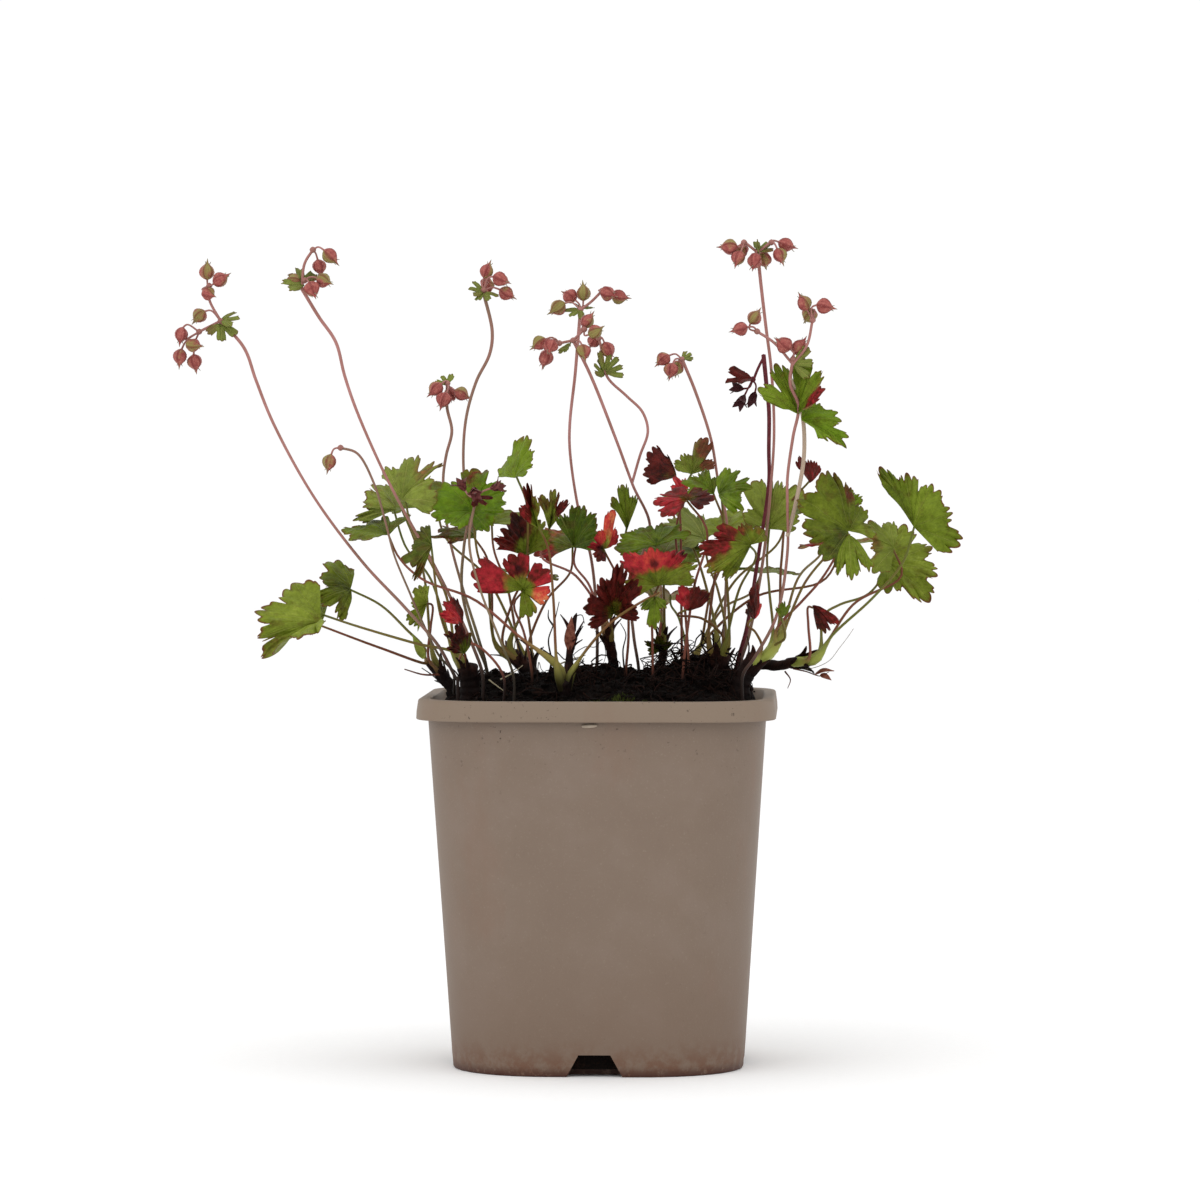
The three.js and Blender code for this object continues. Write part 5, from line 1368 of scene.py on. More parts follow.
FLOWER_STEMS = [
    FlowerStem(
        "flower_stem_a", [(-142, 22, 273), (-133, 19, 263), (-128, 13, 251), (-121, 7, 235),
            (-105, -5, 208), (-86, -16, 184), (-70, -26, 168), (-57, -34, 154), (-50, -38, 142)],
            (-50, -38),
        [Head((-146, 20, 286), [((-147, 22, 291), (-147, 22, 296)), ((-142, 18, 288), (-137, 17, 291)),
            ((-146, 17, 283), (-141, 13, 281))]),
         Head((-142, 22, 273), [((-150, 24, 275), (-153, 25, 272))]),
         Head((-150, 22, 269), [((-156.5, 20, 268), (-157.3, 20, 263)), ((-152, 18, 264), (-147, 16, 263)),
            ((-157.3, 24, 260), (-158.2, 24, 254)), ((-152, 25, 258), (-151, 26, 252))])],
        [[(-142, 22, 273), (-146, 20, 281), (-146, 20, 287)], [(-142, 22, 273), (-150, 22, 269)]],
        [Bract((-142, 22, 273), (-132, 20, 274)), Bract((-142, 22, 272), (-141, 16, 264))],
    ),
    FlowerStem(
        "flower_stem_b", [(-105, -52, 283), (-99, -51, 273), (-93, -50, 264), (-90, -48, 252),
            (-86, -47, 240), (-77, -45, 219), (-69, -42, 203), (-60, -35, 186), (-53, -33, 172),
            (-44, -37, 153)], (-41, -38),
        [Head((-101, -52, 297), [((-95, -53, 295), (-91, -53, 291)), ((-99, -49, 291), (-98, -48, 286))]),
         Head((-104, -52, 286), [((-97, -55, 286), (-92, -57, 284)), ((-101, -57, 283), (-99, -60, 279)),
            ((-108, -50, 286), (-112, -49, 286))])],
        [[(-105, -52, 283), (-104, -52, 292), (-101, -52, 297)]],
        [Bract((-104, -52, 284), (-114, -54, 286)), Bract((-105, -52, 285), (-100, -46, 290))],
    ),
    FlowerStem(
        "flower_stem_c", [(-93, -30, 226), (-87, -30, 224), (-81, -28, 213), (-77, -26, 199),
            (-74, -24, 187), (-69, -20, 174), (-64, -18, 162), (-58, -18, 150)], (-53, -18),
        [Head((-93, -30, 226), [((-97, -30, 221), (-98, -30, 216))])], flush=0.55, width=0.75,
    ),
    FlowerStem(
        "flower_stem_d", [(-59, 44, 250), (-59, 42, 241), (-57, 39, 232), (-59, 37, 223), (-60, 35, 214),
            (-58, 31, 195), (-52, 26, 173), (-46, 21, 155)], (-43, 20),
        [Head((-59, 44, 250), [((-63, 42, 248), (-67, 41, 244)), ((-60, 40, 244), (-62, 38, 239)),
            ((-54, 45, 246), (-49, 46, 243)), ((-58, 49, 246), (-57, 53, 243))])],
        bracts=[Bract((-59, 44, 249), (-62, 47, 254))], flush=0.6,
    ),
    FlowerStem(
        "flower_stem_e", [(-41, -30, 282), (-38, -28, 268), (-39, -27, 260), (-44, -25, 250),
            (-48, -22, 236), (-49, -19, 218), (-47, -19, 203), (-49, -17, 190), (-50, -13, 174),
            (-46, -10, 157)], (-41, -9),
        [Head((-41, -30, 283), [((-40, -29, 290), (-38, -29, 295)), ((-35, -33, 287), (-31, -35, 285)),
            ((-33, -28, 282), (-28, -27, 279)), ((-40, -25, 285), (-41, -20, 283))])],
        bracts=[Bract((-41, -30, 282), (-48, -32, 284)), Bract((-41, -30, 282), (-38, -36, 278))],
        flush=0.6,
    ),
    FlowerStem(
        "flower_stem_f", [(-8, 20, 277), (-9, 20, 265), (-10, 20, 253), (-12, 21, 235), (-12, 21, 225),
            (-9, 21, 204), (-4, 22, 184), (-2, 23, 160)], (-2, 24),
        [Head((-8, 20, 277), [((-16, 18, 278), (-20, 17, 275)), ((-12, 24, 282), (-15, 26, 284)),
            ((-7, 22, 283), (-7, 23, 288))]),
         Head((0, 20, 284), [((2, 17, 283), (5, 15, 282)), ((6, 22, 282), (11, 23, 281))])],
        [[(-8, 20, 277), (-4, 20, 280), (0, 20, 284)]],
        [Bract((-8, 20, 277), (-13, 15, 273)), Bract((-8, 20, 277), (-5, 26, 279))],
    ),
    FlowerStem(
        "flower_stem_g", [(-9, -20, 265), (-3, -19, 253), (6, -14, 230), (12, -7, 213), (18, 13, 195),
            (11, 14, 176), (12, 10, 157)], (14, 8),
        [Head((-14, -20, 264), [((-21, -22, 264), (-25, -23, 261)), ((-17, -25, 263), (-18, -29, 259)),
            ((-19, -17, 259), (-21, -15, 254))]),
         Head((-5, -20, 269), [((-4, -18, 272), (-1, -17, 276)), ((-1, -23, 268), (3, -25, 270))]),
         Head((-9, -20, 265), [((-5, -25, 261), (-4, -28, 257))]),
         Head((0, -12, 266), [((3, -11, 262), (5, -10, 257)), ((-2, -8, 265), (-4, -5, 262))])],
        [[(-9, -20, 265), (-14, -20, 264)], [(-9, -20, 265), (-5, -20, 269)], [(12, -7, 213),
            (15, -11, 223), (18, -14, 232), (16, -13, 239), (10, -12, 245), (3, -12, 252), (1, -12, 262),
            (0, -12, 266)]],
        [Bract((2, -12, 253), (9, -14, 261), (0, -1, 0.2), lobes=5), Bract((2, -12, 252), (-3, -15, 258)),
            Bract((-10, -20, 264), (-13, -15, 260))],
    ),
    FlowerStem(
        "flower_stem_h", [(29, 48, 259), (34, 45, 247), (40, 40, 229), (43, 35, 212), (46, 29, 199),
            (46, 22, 177), (45, 15, 155)], (44, 14),
        [Head((29, 48, 259), [((22, 48, 259), (18, 47, 256)), ((25, 45, 255), (24, 43, 250)),
            ((27, 53, 256), (26, 56, 252))])], bracts=[Bract((29, 48, 259), (34, 49, 262))], flush=0.75,
    ),
    FlowerStem(
        "flower_stem_i", [(58, -14, 297), (59, -14, 287), (61, -14, 270), (63, -14, 254), (64, -13, 232),
            (63, -12, 214), (60, -13, 185), (55, -11, 158)], (51, -9),
        [Head((53, -14, 300.7), [((48, -14, 299), (43, -14, 299)), ((51, -17, 295), (49, -19, 290)),
            ((52, -9, 298), (49, -5, 296))]),
         Head((58, -14, 297), [((57, -19, 294), (56, -22, 290)), ((60, -9, 295), (61, -6, 291))]),
         Head((63, -14, 300.7), [((66, -16, 296), (68, -17, 291)), ((68, -12, 300), (73, -11, 298))])],
        [[(58, -14, 297), (53, -14, 301)], [(58, -14, 297), (63, -14, 301)]],
        [Bract((58, -14, 297), (57, -18, 302)), Bract((58, -14, 297), (63, -10, 302))],
    ),
    FlowerStem(
        "flower_stem_j", [(71, -34, 258), (70, -34, 249), (73, -34, 241), (71, -33, 230), (69, -33, 215),
            (69, -33, 205), (69, -33, 188), (65, -34, 165), (57, -35, 150)], (53, -35),
        [Head((58, -32, 268), [((57, -31, 273), (60, -31, 277)), ((52, -34, 269), (48, -35, 268))]),
         Head((78, -35, 272), [((75, -35, 278), (73, -36, 282)), ((82, -37, 277), (86, -38, 276)),
            ((77, -31, 274), (75, -28, 271))]),
         Head((71, -34, 258), [((68, -37, 263), (65, -39, 265)), ((73, -32, 262), (76, -31, 266))])],
        [[(71, -34, 256), (64, -33, 264), (58, -32, 268)], [(71, -34, 256), (76, -35, 263), (78, -35, 272)],
            [(70, -34, 251), (74, -29, 240), (75, -27, 224), (72, -30, 206), (69, -33, 194)]],
        [Bract((71, -34, 256), (81, -36, 257), (0, -1, 0.2))],
        [Leaf(61, (73, -34, 238), [(82, -48, 246), (83, -38, 254), (75, -28, 259), (64, -28, 257),
            (58, -38, 248)], Look(Hue.OLIVE, (0.85, 0.25, 0.1, 0.35, 0.15), fresh=0.6, heat=0.4),
            cleft=0.45),
         Leaf(62, (74, -33, 236), [(84, -44, 228), (91, -38, 226), (89, -34, 236), (79, -26, 243)],
            Look(Hue.YELLOW, (0.1, 0.2, 0.1, 0.1), fresh=0.85), cleft=0.75)], beige=2,
    ),
    FlowerStem(
        "flower_stem_k", [(-43, -45, 208), (-45, -51, 192), (-41, -56, 176), (-34, -56, 158)], (-29, -53),
        [Head((-43, -45, 208), [((-48, -47, 213), (-50, -48, 217)), ((-43, -50, 210), (-42, -54, 207)),
            ((-35, -46, 212), (-30, -46, 213))])], bracts=[Bract((-43, -45, 208), (-38, -50, 205))],
        flush=0.5, dead=0.75, width=0.8,
    ),
]

DEAD_STEM = FlowerStem(
    "dead_stem", [(60, -1, 260), (61, -1, 250), (62, -2, 240), (62, -3, 225), (62, -3, 213), (58, -5, 185),
        (54, -1, 160)], (50, 4),
    [Head((56, 1, 251), [((50, 2, 248), (45, 3, 249)), ((52, -3, 243), (50, -5, 239)), ((56, 4, 244),
        (54, 6, 239))])], [[(60, -1, 259), (58, -1, 255), (56, 1, 250)]],
    [Bract((56, 1, 251), (44, -3, 250), (0, -0.4, 0.9))], dead=1.0, width=1.35,
)


# Sub-assemblies


@dataclass(frozen=True)
class Studio:
    """A level disc of pale paper, soft lights and the camera that took the picture's view.

    floor is the disc's radius, paper its thickness and world the strength of the light all round.
    """

    eye: Point = (80.6, -2098.5, 231.0)
    aim: Point = (0.0, 0.0, 170.0)
    lens: float = 171.5
    sensor: float = 36.0
    world: float = 1.03
    floor: float = 6000.0
    paper: float = 4.0

    def build(self) -> None:
        """Makes the camera, the sweep, the lights and the world."""
        self.camera()
        self.sweep()
        self.light("key", (-1100, -1500, 1300), 1300, 5)
        self.light("top", (200, -300, 1900), 1500, 4.5)
        world = bpy.data.worlds.new("studio")
        bpy.context.scene.world = world
        world.use_nodes = True
        world.node_tree.nodes["Background"].inputs["Color"].default_value = (1, 1, 1, 1)
        world.node_tree.nodes["Background"].inputs["Strength"].default_value = self.world
        bpy.context.scene.view_settings.view_transform = "Standard"

    def camera(self) -> None:
        """Stands the camera at the picture's viewpoint."""
        lens = bpy.data.cameras.new("camera")
        lens.lens = self.lens
        lens.sensor_width = self.sensor
        lens.sensor_fit = "HORIZONTAL"
        lens.clip_end = 30
        camera = bpy.data.objects.new("camera", lens)
        camera.location = Vector(self.eye) * MM
        camera.rotation_euler = (Vector(self.aim) - Vector(self.eye)).to_track_quat("-Z", "Y").to_euler()
        bpy.context.scene.collection.objects.link(camera)
        bpy.context.scene.camera = camera

    def light(self, name: str, at: Point, size: float, power: float) -> None:
        """Hangs a square soft light, in millimetres and watts, that faces the plant.

        Args:
            name: Its name.
            at: Where it hangs.
            size: Its side.
            power: Its power.
        """
        lamp = bpy.data.lights.new(name, "AREA")
        lamp.size = size * MM
        lamp.energy = power
        lamp.shape = "SQUARE"
        holder = bpy.data.objects.new(name, lamp)
        holder.location = Vector(at) * MM
        holder.rotation_euler = (Vector(self.aim) - Vector(at)).to_track_quat("-Z", "Y").to_euler()
        bpy.context.scene.collection.objects.link(holder)

    def sweep(self) -> None:
        """The floor: a level disc, two rings of evenly spaced bearings one under the other."""
        angle = np.linspace(0, 2 * np.pi, 96, endpoint=False)
        ring = np.stack([np.cos(angle), np.sin(angle), 0 * angle], axis=1) * self.floor
        below = np.array([0, 0, -self.paper])
        surface = loft(np.stack([ring + below, ring]), below, np.zeros(3))
        mesh = bpy.data.meshes.new("floor")
        faces = [*surface.quads.tolist(), *surface.triangles.tolist()]
        mesh.from_pydata((surface.points * MM).tolist(), [], faces)
        mesh.materials.append(PaleFloor().material())
        floor = bpy.data.objects.new("floor", mesh)
        bpy.context.scene.collection.objects.link(floor)


def rounded_square(half: Array, corner: Array, steps: int = 12, side: int = 9) -> Array:
    """Level square rings with rounded corners: four arcs, joined by evenly divided straight sides.

    Args:
        half: Half the width of each ring.
        corner: Its corners' radius.
        steps: Into how many parts each corner is divided.
        side: Into how many each straight side is.
    Returns:
        Rings by points by 2, anticlockwise from the right.
    """
    half, corner = array(half)[:, None, None], array(corner)[:, None, None]
    quarter = np.arange(4)[:, None]
    angle = (quarter + np.linspace(0, 1, steps + 1)) * np.pi / 2
    towards = (quarter + 0.5) * np.pi / 2
    x = (half - corner) * np.sign(np.cos(towards)) + corner * np.cos(angle)
    y = (half - corner) * np.sign(np.sin(towards)) + corner * np.sin(angle)
    arcs = np.stack([x, y], axis=-1)
    following = np.roll(arcs[:, :, :1], -1, axis=1)
    share = np.linspace(0, 1, side + 1)[1:-1, None]
    sides = arcs[:, :, -1:] * (1 - share) + following * share
    return np.concatenate([arcs, sides], axis=2).reshape(half.shape[0], -1, 2)


def fade(x: Array, y: Array, size: float, seed: int) -> Array:
    """Smooth lumps from -1 to 1: draws on a square lattice of that size, blended between its corners.

    Args:
        x: The places across.
        y: The places along.
        size: The lattice's step.
        seed: For the draws.
    Returns:
        The lumps at those places.
    """
    column, row = np.floor(x / size), np.floor(y / size)
    u, v = smoothstep(0, 1, x / size - column), smoothstep(0, 1, y / size - row)
    corner = [[draw(seed + column + i, row + j) for j in (0, 1)] for i in (0, 1)]
    low = corner[0][0] * (1 - u) + corner[1][0] * u
    high = corner[0][1] * (1 - u) + corner[1][1] * u
    return 2 * (low * (1 - v) + high * v) - 1


@dataclass(frozen=True)
class Pot:
    """The square nursery pot: a tapering body, a stiffening rim that hangs down, and four drain notches.

    overcut is how far the tools that cut its openings go past its faces.
    """

    foot_half: float = 53
    foot_corner: float = 36
    neck_half: float = 61
    neck_corner: float = 28
    rim_half: float = 65
    rim_corner: float = 27
    band: float = 7.4
    flare: float = 0.6
    lip: float = 1.5
    height: float = 135.5
    wall: float = 1.6
    floor: float = 2.4
    edge: float = 1.0
    notch_foot: float = 20.2
    notch_top: float = 11.5
    notch_height: float = 8.0
    notch_depth: float = 10.0
    overcut: float = 2.0
    drain_radius: float = 5.0
    drain_offset: float = 25.0

    def body_at(self, z: float, inset: float = 0.0) -> tuple[float, float]:
        """The body's half width and corner radius at a height, along its straight taper.

        Args:
            z: The height.
            inset: How far inside the outer face.
        Returns:
            The half width and the corner radius.
        """
        t = z / (self.height - self.band)
        half = self.foot_half + (self.neck_half - self.foot_half) * t
        return half - inset, self.foot_corner + (self.neck_corner - self.foot_corner) * t - inset

    def bend(self, z: float, half: float, corner: float, start: float, turn: float) -> list[Point]:
        """A quarter round of the edge radius, as rows of height, half width and corner radius.

        Its middle is at the height and half width given, and it turns from one angle by another.

        Args:
            z: Its middle's height.
            half: Its middle's half width.
            corner: The corner radius there.
            start: The angle that it starts from, in degrees.
            turn: How far it turns.
        Returns:
            Five rows.
        """
        angles = np.radians(start + turn * np.linspace(0, 1, 5))
        out, over = self.edge * np.cos(angles), self.edge * np.sin(angles)
        return list(zip(z + over, half + out, corner + out))

    def profile(self) -> list[Point]:
        """Rows of height, half width and corner radius, from the foot up outside and down inside.

        Returns:
            The rows in order.
        """
        skirt = self.height - self.band
        under = self.height - 2 * self.edge
        lip_half = self.rim_half - self.flare
        outside = [(z, *self.body_at(z)) for z in np.linspace(1, under, 26)[1:]]
        inside = [(z, *self.body_at(z, self.wall)) for z in np.linspace(self.height - 1, self.floor, 14)]
        half, corner = self.body_at(self.height, self.wall - self.edge)
        return [
            *self.bend(self.edge, self.foot_half - self.edge, self.foot_corner - self.edge, -90, 90),
            *outside,
            (under, lip_half - self.lip, self.rim_corner - self.edge),
            (skirt + 0.25, self.rim_half - self.lip, self.rim_corner - self.edge),
            (skirt, self.rim_half - self.lip + 0.25, self.rim_corner - self.edge),
            (skirt, self.rim_half - 0.3, self.rim_corner - 0.3),
            (skirt + 0.3, self.rim_half, self.rim_corner),
            (skirt + 3.0, self.rim_half - 0.12, self.rim_corner),
            *self.bend(self.height - self.edge, lip_half - self.edge, self.rim_corner - self.edge, 0, 90),
            (self.height, half, corner),
            (self.height - 0.3, half - 0.7, corner - 0.7),
            *inside,
        ]

    def shell(self) -> Surface:
        """The pot before it is cut: the profile carried round rounded squares.

        Returns:
            The closed surface.
        """
        rows = np.array(self.profile())
        flat = rounded_square(rows[:, 1], rows[:, 2], steps=14, side=12)
        z = np.repeat(rows[:, :1], flat.shape[1], axis=1)
        rings = np.concatenate([flat, z[..., None]], axis=2)
        return loft(rings, np.array([0.0, 0, 0]), np.array([0.0, 0, self.floor]))

    def cutters(self) -> list[Surface]:
        """Four wedge-shaped blocks at the foot and four round drills through the floor.

        Returns:
            The blocks and drills, side by side in turn.
        """
        tools = []
        a, b = self.notch_foot / 2, self.notch_top / 2
        angle = np.linspace(0, 2 * np.pi, 32, endpoint=False)
        disc = np.stack([np.cos(angle), np.sin(angle), np.zeros(32)], axis=1) * self.drain_radius
        for side in range(4):
            c, s = round(math.cos(side * math.pi / 2)), round(math.sin(side * math.pi / 2))
            turn = np.array([[c, -s, 0], [s, c, 0], [0, 0, 1.0]])
            near, far = -self.foot_half - self.notch_depth, -self.foot_half + self.notch_depth
            top = self.notch_height
            foot = [(-a - 1.1, 0, -self.overcut), (a + 1.1, 0, -self.overcut)]
            outline = np.array([*foot, (b, 0, top), (-b, 0, top)])
            rings = np.stack([outline + (0, y, 0) for y in (far, near)])
            tools.append(loft(rings @ turn.T, rings[0].mean(0) @ turn.T, rings[1].mean(0) @ turn.T))
            place = np.array([self.drain_offset, self.drain_offset, 0]) @ turn.T
            low, high = np.array([0, 0, -3]), np.array([0, 0, self.floor + self.overcut])
            tools.append(loft(np.stack([disc + low, disc + high]) + place, place + low, place + high))
        return tools

    def tab(self) -> Surface:
        """The moulder's small raised tab under the rim at the front: a flat pillow a bit over 5 mm wide.

        Returns:
            The tube.
        """
        half, _ = self.body_at(127)
        path = np.linspace((-4.0, -half - 0.6, 126.6), (1.2, -half - 0.6, 126.9), 6)
        return tube(path, np.array([0.4, 0.6, 0.65, 0.65, 0.6, 0.4]), 10, 0.6)

    def build(self) -> None:
        """Makes the pot, with its openings cut by a Boolean that is applied."""
        material = RecycledPlastic(height=self.height, band=self.band).material()
        piece = Sheaf("pot_body", self.shell()).make(material, "pot", ["pot"])
        cutter = Sheaf("cutters", *self.cutters()).make(material, "pot", [])
        modifier = piece.modifiers.new("openings", "BOOLEAN")
        modifier.operation = "DIFFERENCE"
        modifier.solver = "EXACT"
        modifier.object = cutter
        shaped = bpy.data.meshes.new_from_object(piece.evaluated_get(bpy.context.evaluated_depsgraph_get()))
        piece.modifiers.clear()
        piece.data = shaped
        shaped.name = "pot_body"
        shaped.set_sharp_from_angle(angle=math.radians(32))
        bpy.data.objects.remove(cutter)
        # Painted highlight: the tab is coloured paler than the pot's plastic, for the light that it catches
        # just under the rim.
        tab_highlight = Plain("moulding_tab_painted_highlight", "#98897a", "#a99c8c", 4).material()
        Sheaf("pot_moulding_tab", self.tab()).make(tab_highlight, "pot", ["pot"])


@dataclass(frozen=True)
class PeatBed:
    """The peat: a plug in the pot with a clodded mound, crumbs and old roots on it.

    Each heap is its height, its place and the squares of its spread both ways; reach is how far from the
    middle crumbs lie.
    """

    pot: Pot = Pot()
    gap: float = 0.35
    edge: float = 131.0
    rise: float = 11.0
    columns: int = 26
    rows: int = 76
    crumbs: int = 2600
    reach: float = 57.0
    heaps: tuple[tuple[float, ...], ...] = (
        (6, -38, -14, 110, 200), (7, 35, 4, 240, 260), (3, -8, 4, 200, 260),
    )

    def height(self, x: Array, y: Array) -> Array:
        """The surface's height: the solids' mound, crest and clods, three heaps and two sizes of lumps.

        Args:
            x: The places across.
            y: The places along.
        Returns:
            The height at each place.
        """
        mound = np.maximum(0, self.rise * (1 - (x * x + y * y) / 4200))
        crest = 4 * np.exp(-((x - 46) ** 2) / 260) * np.exp(-(y * y) / 1800)
        clods = 1.1 * np.sin(x / 6 + 1) * np.cos(y / 7) + 0.7 * np.sin(x / 3.7 - y / 4.9)
        lumps = 0.9 * fade(x, y, 3.1, 400) + 0.6 * fade(x + 50, y, 1.4, 500)
        heaps = sum(h * np.exp(-((x - a) ** 2) / p - (y - b) ** 2 / q) for h, a, b, p, q in self.heaps)
        return self.edge + mound + crest + clods + lumps + heaps

    def mound(self) -> Surface:
        """The plug: three rings up the wall, then rounded squares that shrink to the middle.

        Returns:
            The closed surface.
        """
        z = np.array([self.pot.floor + self.gap, self.pot.height / 2, self.edge - 1.5])
        low = np.array([self.pot.body_at(h, self.pot.wall + self.gap) for h in z])
        share = np.linspace(1, 0.012, self.rows)[1:]
        half = np.concatenate([low[:, 0], low[-1, 0] * share])
        corner = np.concatenate([low[:, 1], low[-1, 1] * share])
        flat = rounded_square(half, corner, self.columns, self.columns)
        top = self.height(flat[3:, :, 0], flat[3:, :, 1])
        settle = smoothstep(1.0, 0.93, share)[:, None]
        top = self.edge - 1.5 + (top - self.edge + 1.5) * settle
        levels = np.concatenate([np.repeat(z[:, None], flat.shape[1], axis=1), top])
        rings = np.concatenate([flat, levels[..., None]], axis=2)
        return loft(rings, np.array([0, 0, z[0]]), np.array([0, 0, self.height(0.0, 0.0)]))

    def crumb(self, k: int) -> Surface:
        """One crumb: two skewed rings of five points and two ends, sunk by a third in the surface.

        Args:
            k: Its number, for its draws.
        Returns:
            The crumb.
        """
        a = 2 * math.pi * draw(k, 1)
        r = self.reach * math.sqrt(draw(k, 2))
        x, y = r * math.cos(a), r * math.sin(a)
        size = 0.35 + 1.5 * draw(k, 3) ** 4
        z = self.height(x, y) + 0.2 * size
        angle = np.linspace(0, 2 * np.pi, 5, endpoint=False) + 6 * draw(k, 4)
        far = size * (0.65 + 0.6 * draw(k, np.arange(10)).reshape(2, 5))
        level = size * np.array([[-0.4], [0.4]]) * np.ones(5)
        rings = np.stack([far * np.cos(angle), far * np.sin(angle), level], axis=-1)
        rings = rings + (x, y, z)
        return loft(rings, np.array([x, y, z - 0.8 * size]), np.array([x, y, z + 0.8 * size]))

    def root(self, k: int, at: tuple[float, float], span: float, rise: float, radius: float) -> Surface:
        """A thin curled root: an arch over the peat between two points, thrown aside by draws.

        Args:
            k: Its number, for its draws.
            at: Its middle on the ground.
            span: How far apart its ends are.
            rise: How high it arches.
            radius: Its own radius.
        Returns:
            The tube.
        """
        turn = 2 * math.pi * draw(k, 21)
        t = np.linspace(-1, 1, 10)
        wild = (draw(k, np.arange(30, 60)).reshape(3, 10) - 0.5) * np.array([[0.42], [0.42], [0.4]]) * span
        x = at[0] + math.cos(turn) * t * span / 2 + wild[0]
        y = at[1] + math.sin(turn) * t * span / 2 + wild[1]
        x, y = np.clip([x, y], 1 - self.reach, self.reach - 1)
        z = self.height(x, y) + (1 - t * t) * (rise + np.maximum(wild[2], -0.6 * rise)) - 0.6
        path = smooth_route(list(zip(x, y, z)), 34)
        return tube(path, radius * (1.2 - 0.7 * np.linspace(-1, 1, 34) ** 2), 5)

    def roots(self) -> Sheaf:
        """Fine black roots: two thickets that stand above the peat in front, and a sparse mat all over.

        Returns:
            The roots, not yet made an object.
        """
        sheaf = Sheaf("peat_roots")
        patches = (
            (range(17), (-21, -39), (22, 34), (12, 3, 0.12), (12, 8, 0.14)),
            (range(60, 94), (17, -30), (34, 40), (12, 2, 0.12), (16, 8, 0.16)),
            (range(200, 300), (-50, -50), (100, 100), (5, 0.6, 0.1), (12, 2.4, 0.2)),
        )
        for numbers, corner, size, least, more in patches:
            for k in numbers:
                x, y = np.array(corner) + np.array(size) * draw(k, np.array([11, 12]))
                span, rise, radius = np.array(least) + np.array(more) * draw(k, np.array([13, 14, 15]))
                sheaf.add(self.root(k, (x, y), span, rise, radius))
        return sheaf

    def build(self) -> None:
        """Makes the plug, its crumbs and its roots."""
        peat = Peat().material()
        Sheaf("peat_mound", self.mound()).make(peat, "peat", ["peat"])
        crumbs = Sheaf("peat_crumbs", *[self.crumb(k) for k in range(self.crumbs)])
        crumbs.make(peat, "peat", ["peat"])
        bark = Plain("dead_fine_root", "#080403", "#24130d", 2.5).material()
        self.roots().make(bark, "peat", ["peat"])


def strap(path: Array, half: Array, face: Point | Array, thick: float = 0.18, fold: float = 0.25) -> Surface:
    """A narrow leaf-like strip: a lens of six points carried along a path, folded along its middle.

    Args:
        path: Its midrib, points by 3.
        half: Its half width at each.
        face: Roughly where its upper side looks.
        thick: Half its thickness at the midrib.
        fold: How far its edges are lifted, as a share of the half width.
    Returns:
        The closed strip, marked with rise, the share of the way along.
    """
    along = unit(np.gradient(path, axis=0))
    up = unit(array(face) - along * (along @ array(face))[:, None])
    side = np.cross(along, up)
    place = np.array([1, 0.5, -0.5, -1, -0.5, 0.5])
    over = np.array([0, 1, 1, 0, -1, -1]) * thick
    lift = fold * np.abs(place) ** 1.5
    rings = (
        path[:, None] + side[:, None] * (half[:, None] * place)[..., None]
        + up[:, None] * (half[:, None] * lift + over)[..., None]
    )
    rise = np.append(np.repeat(np.linspace(0, 1, len(path)), 6), [0, 1])
    return loft(rings[:, ::-1], path[0], path[-1]).marked(rise=rise)


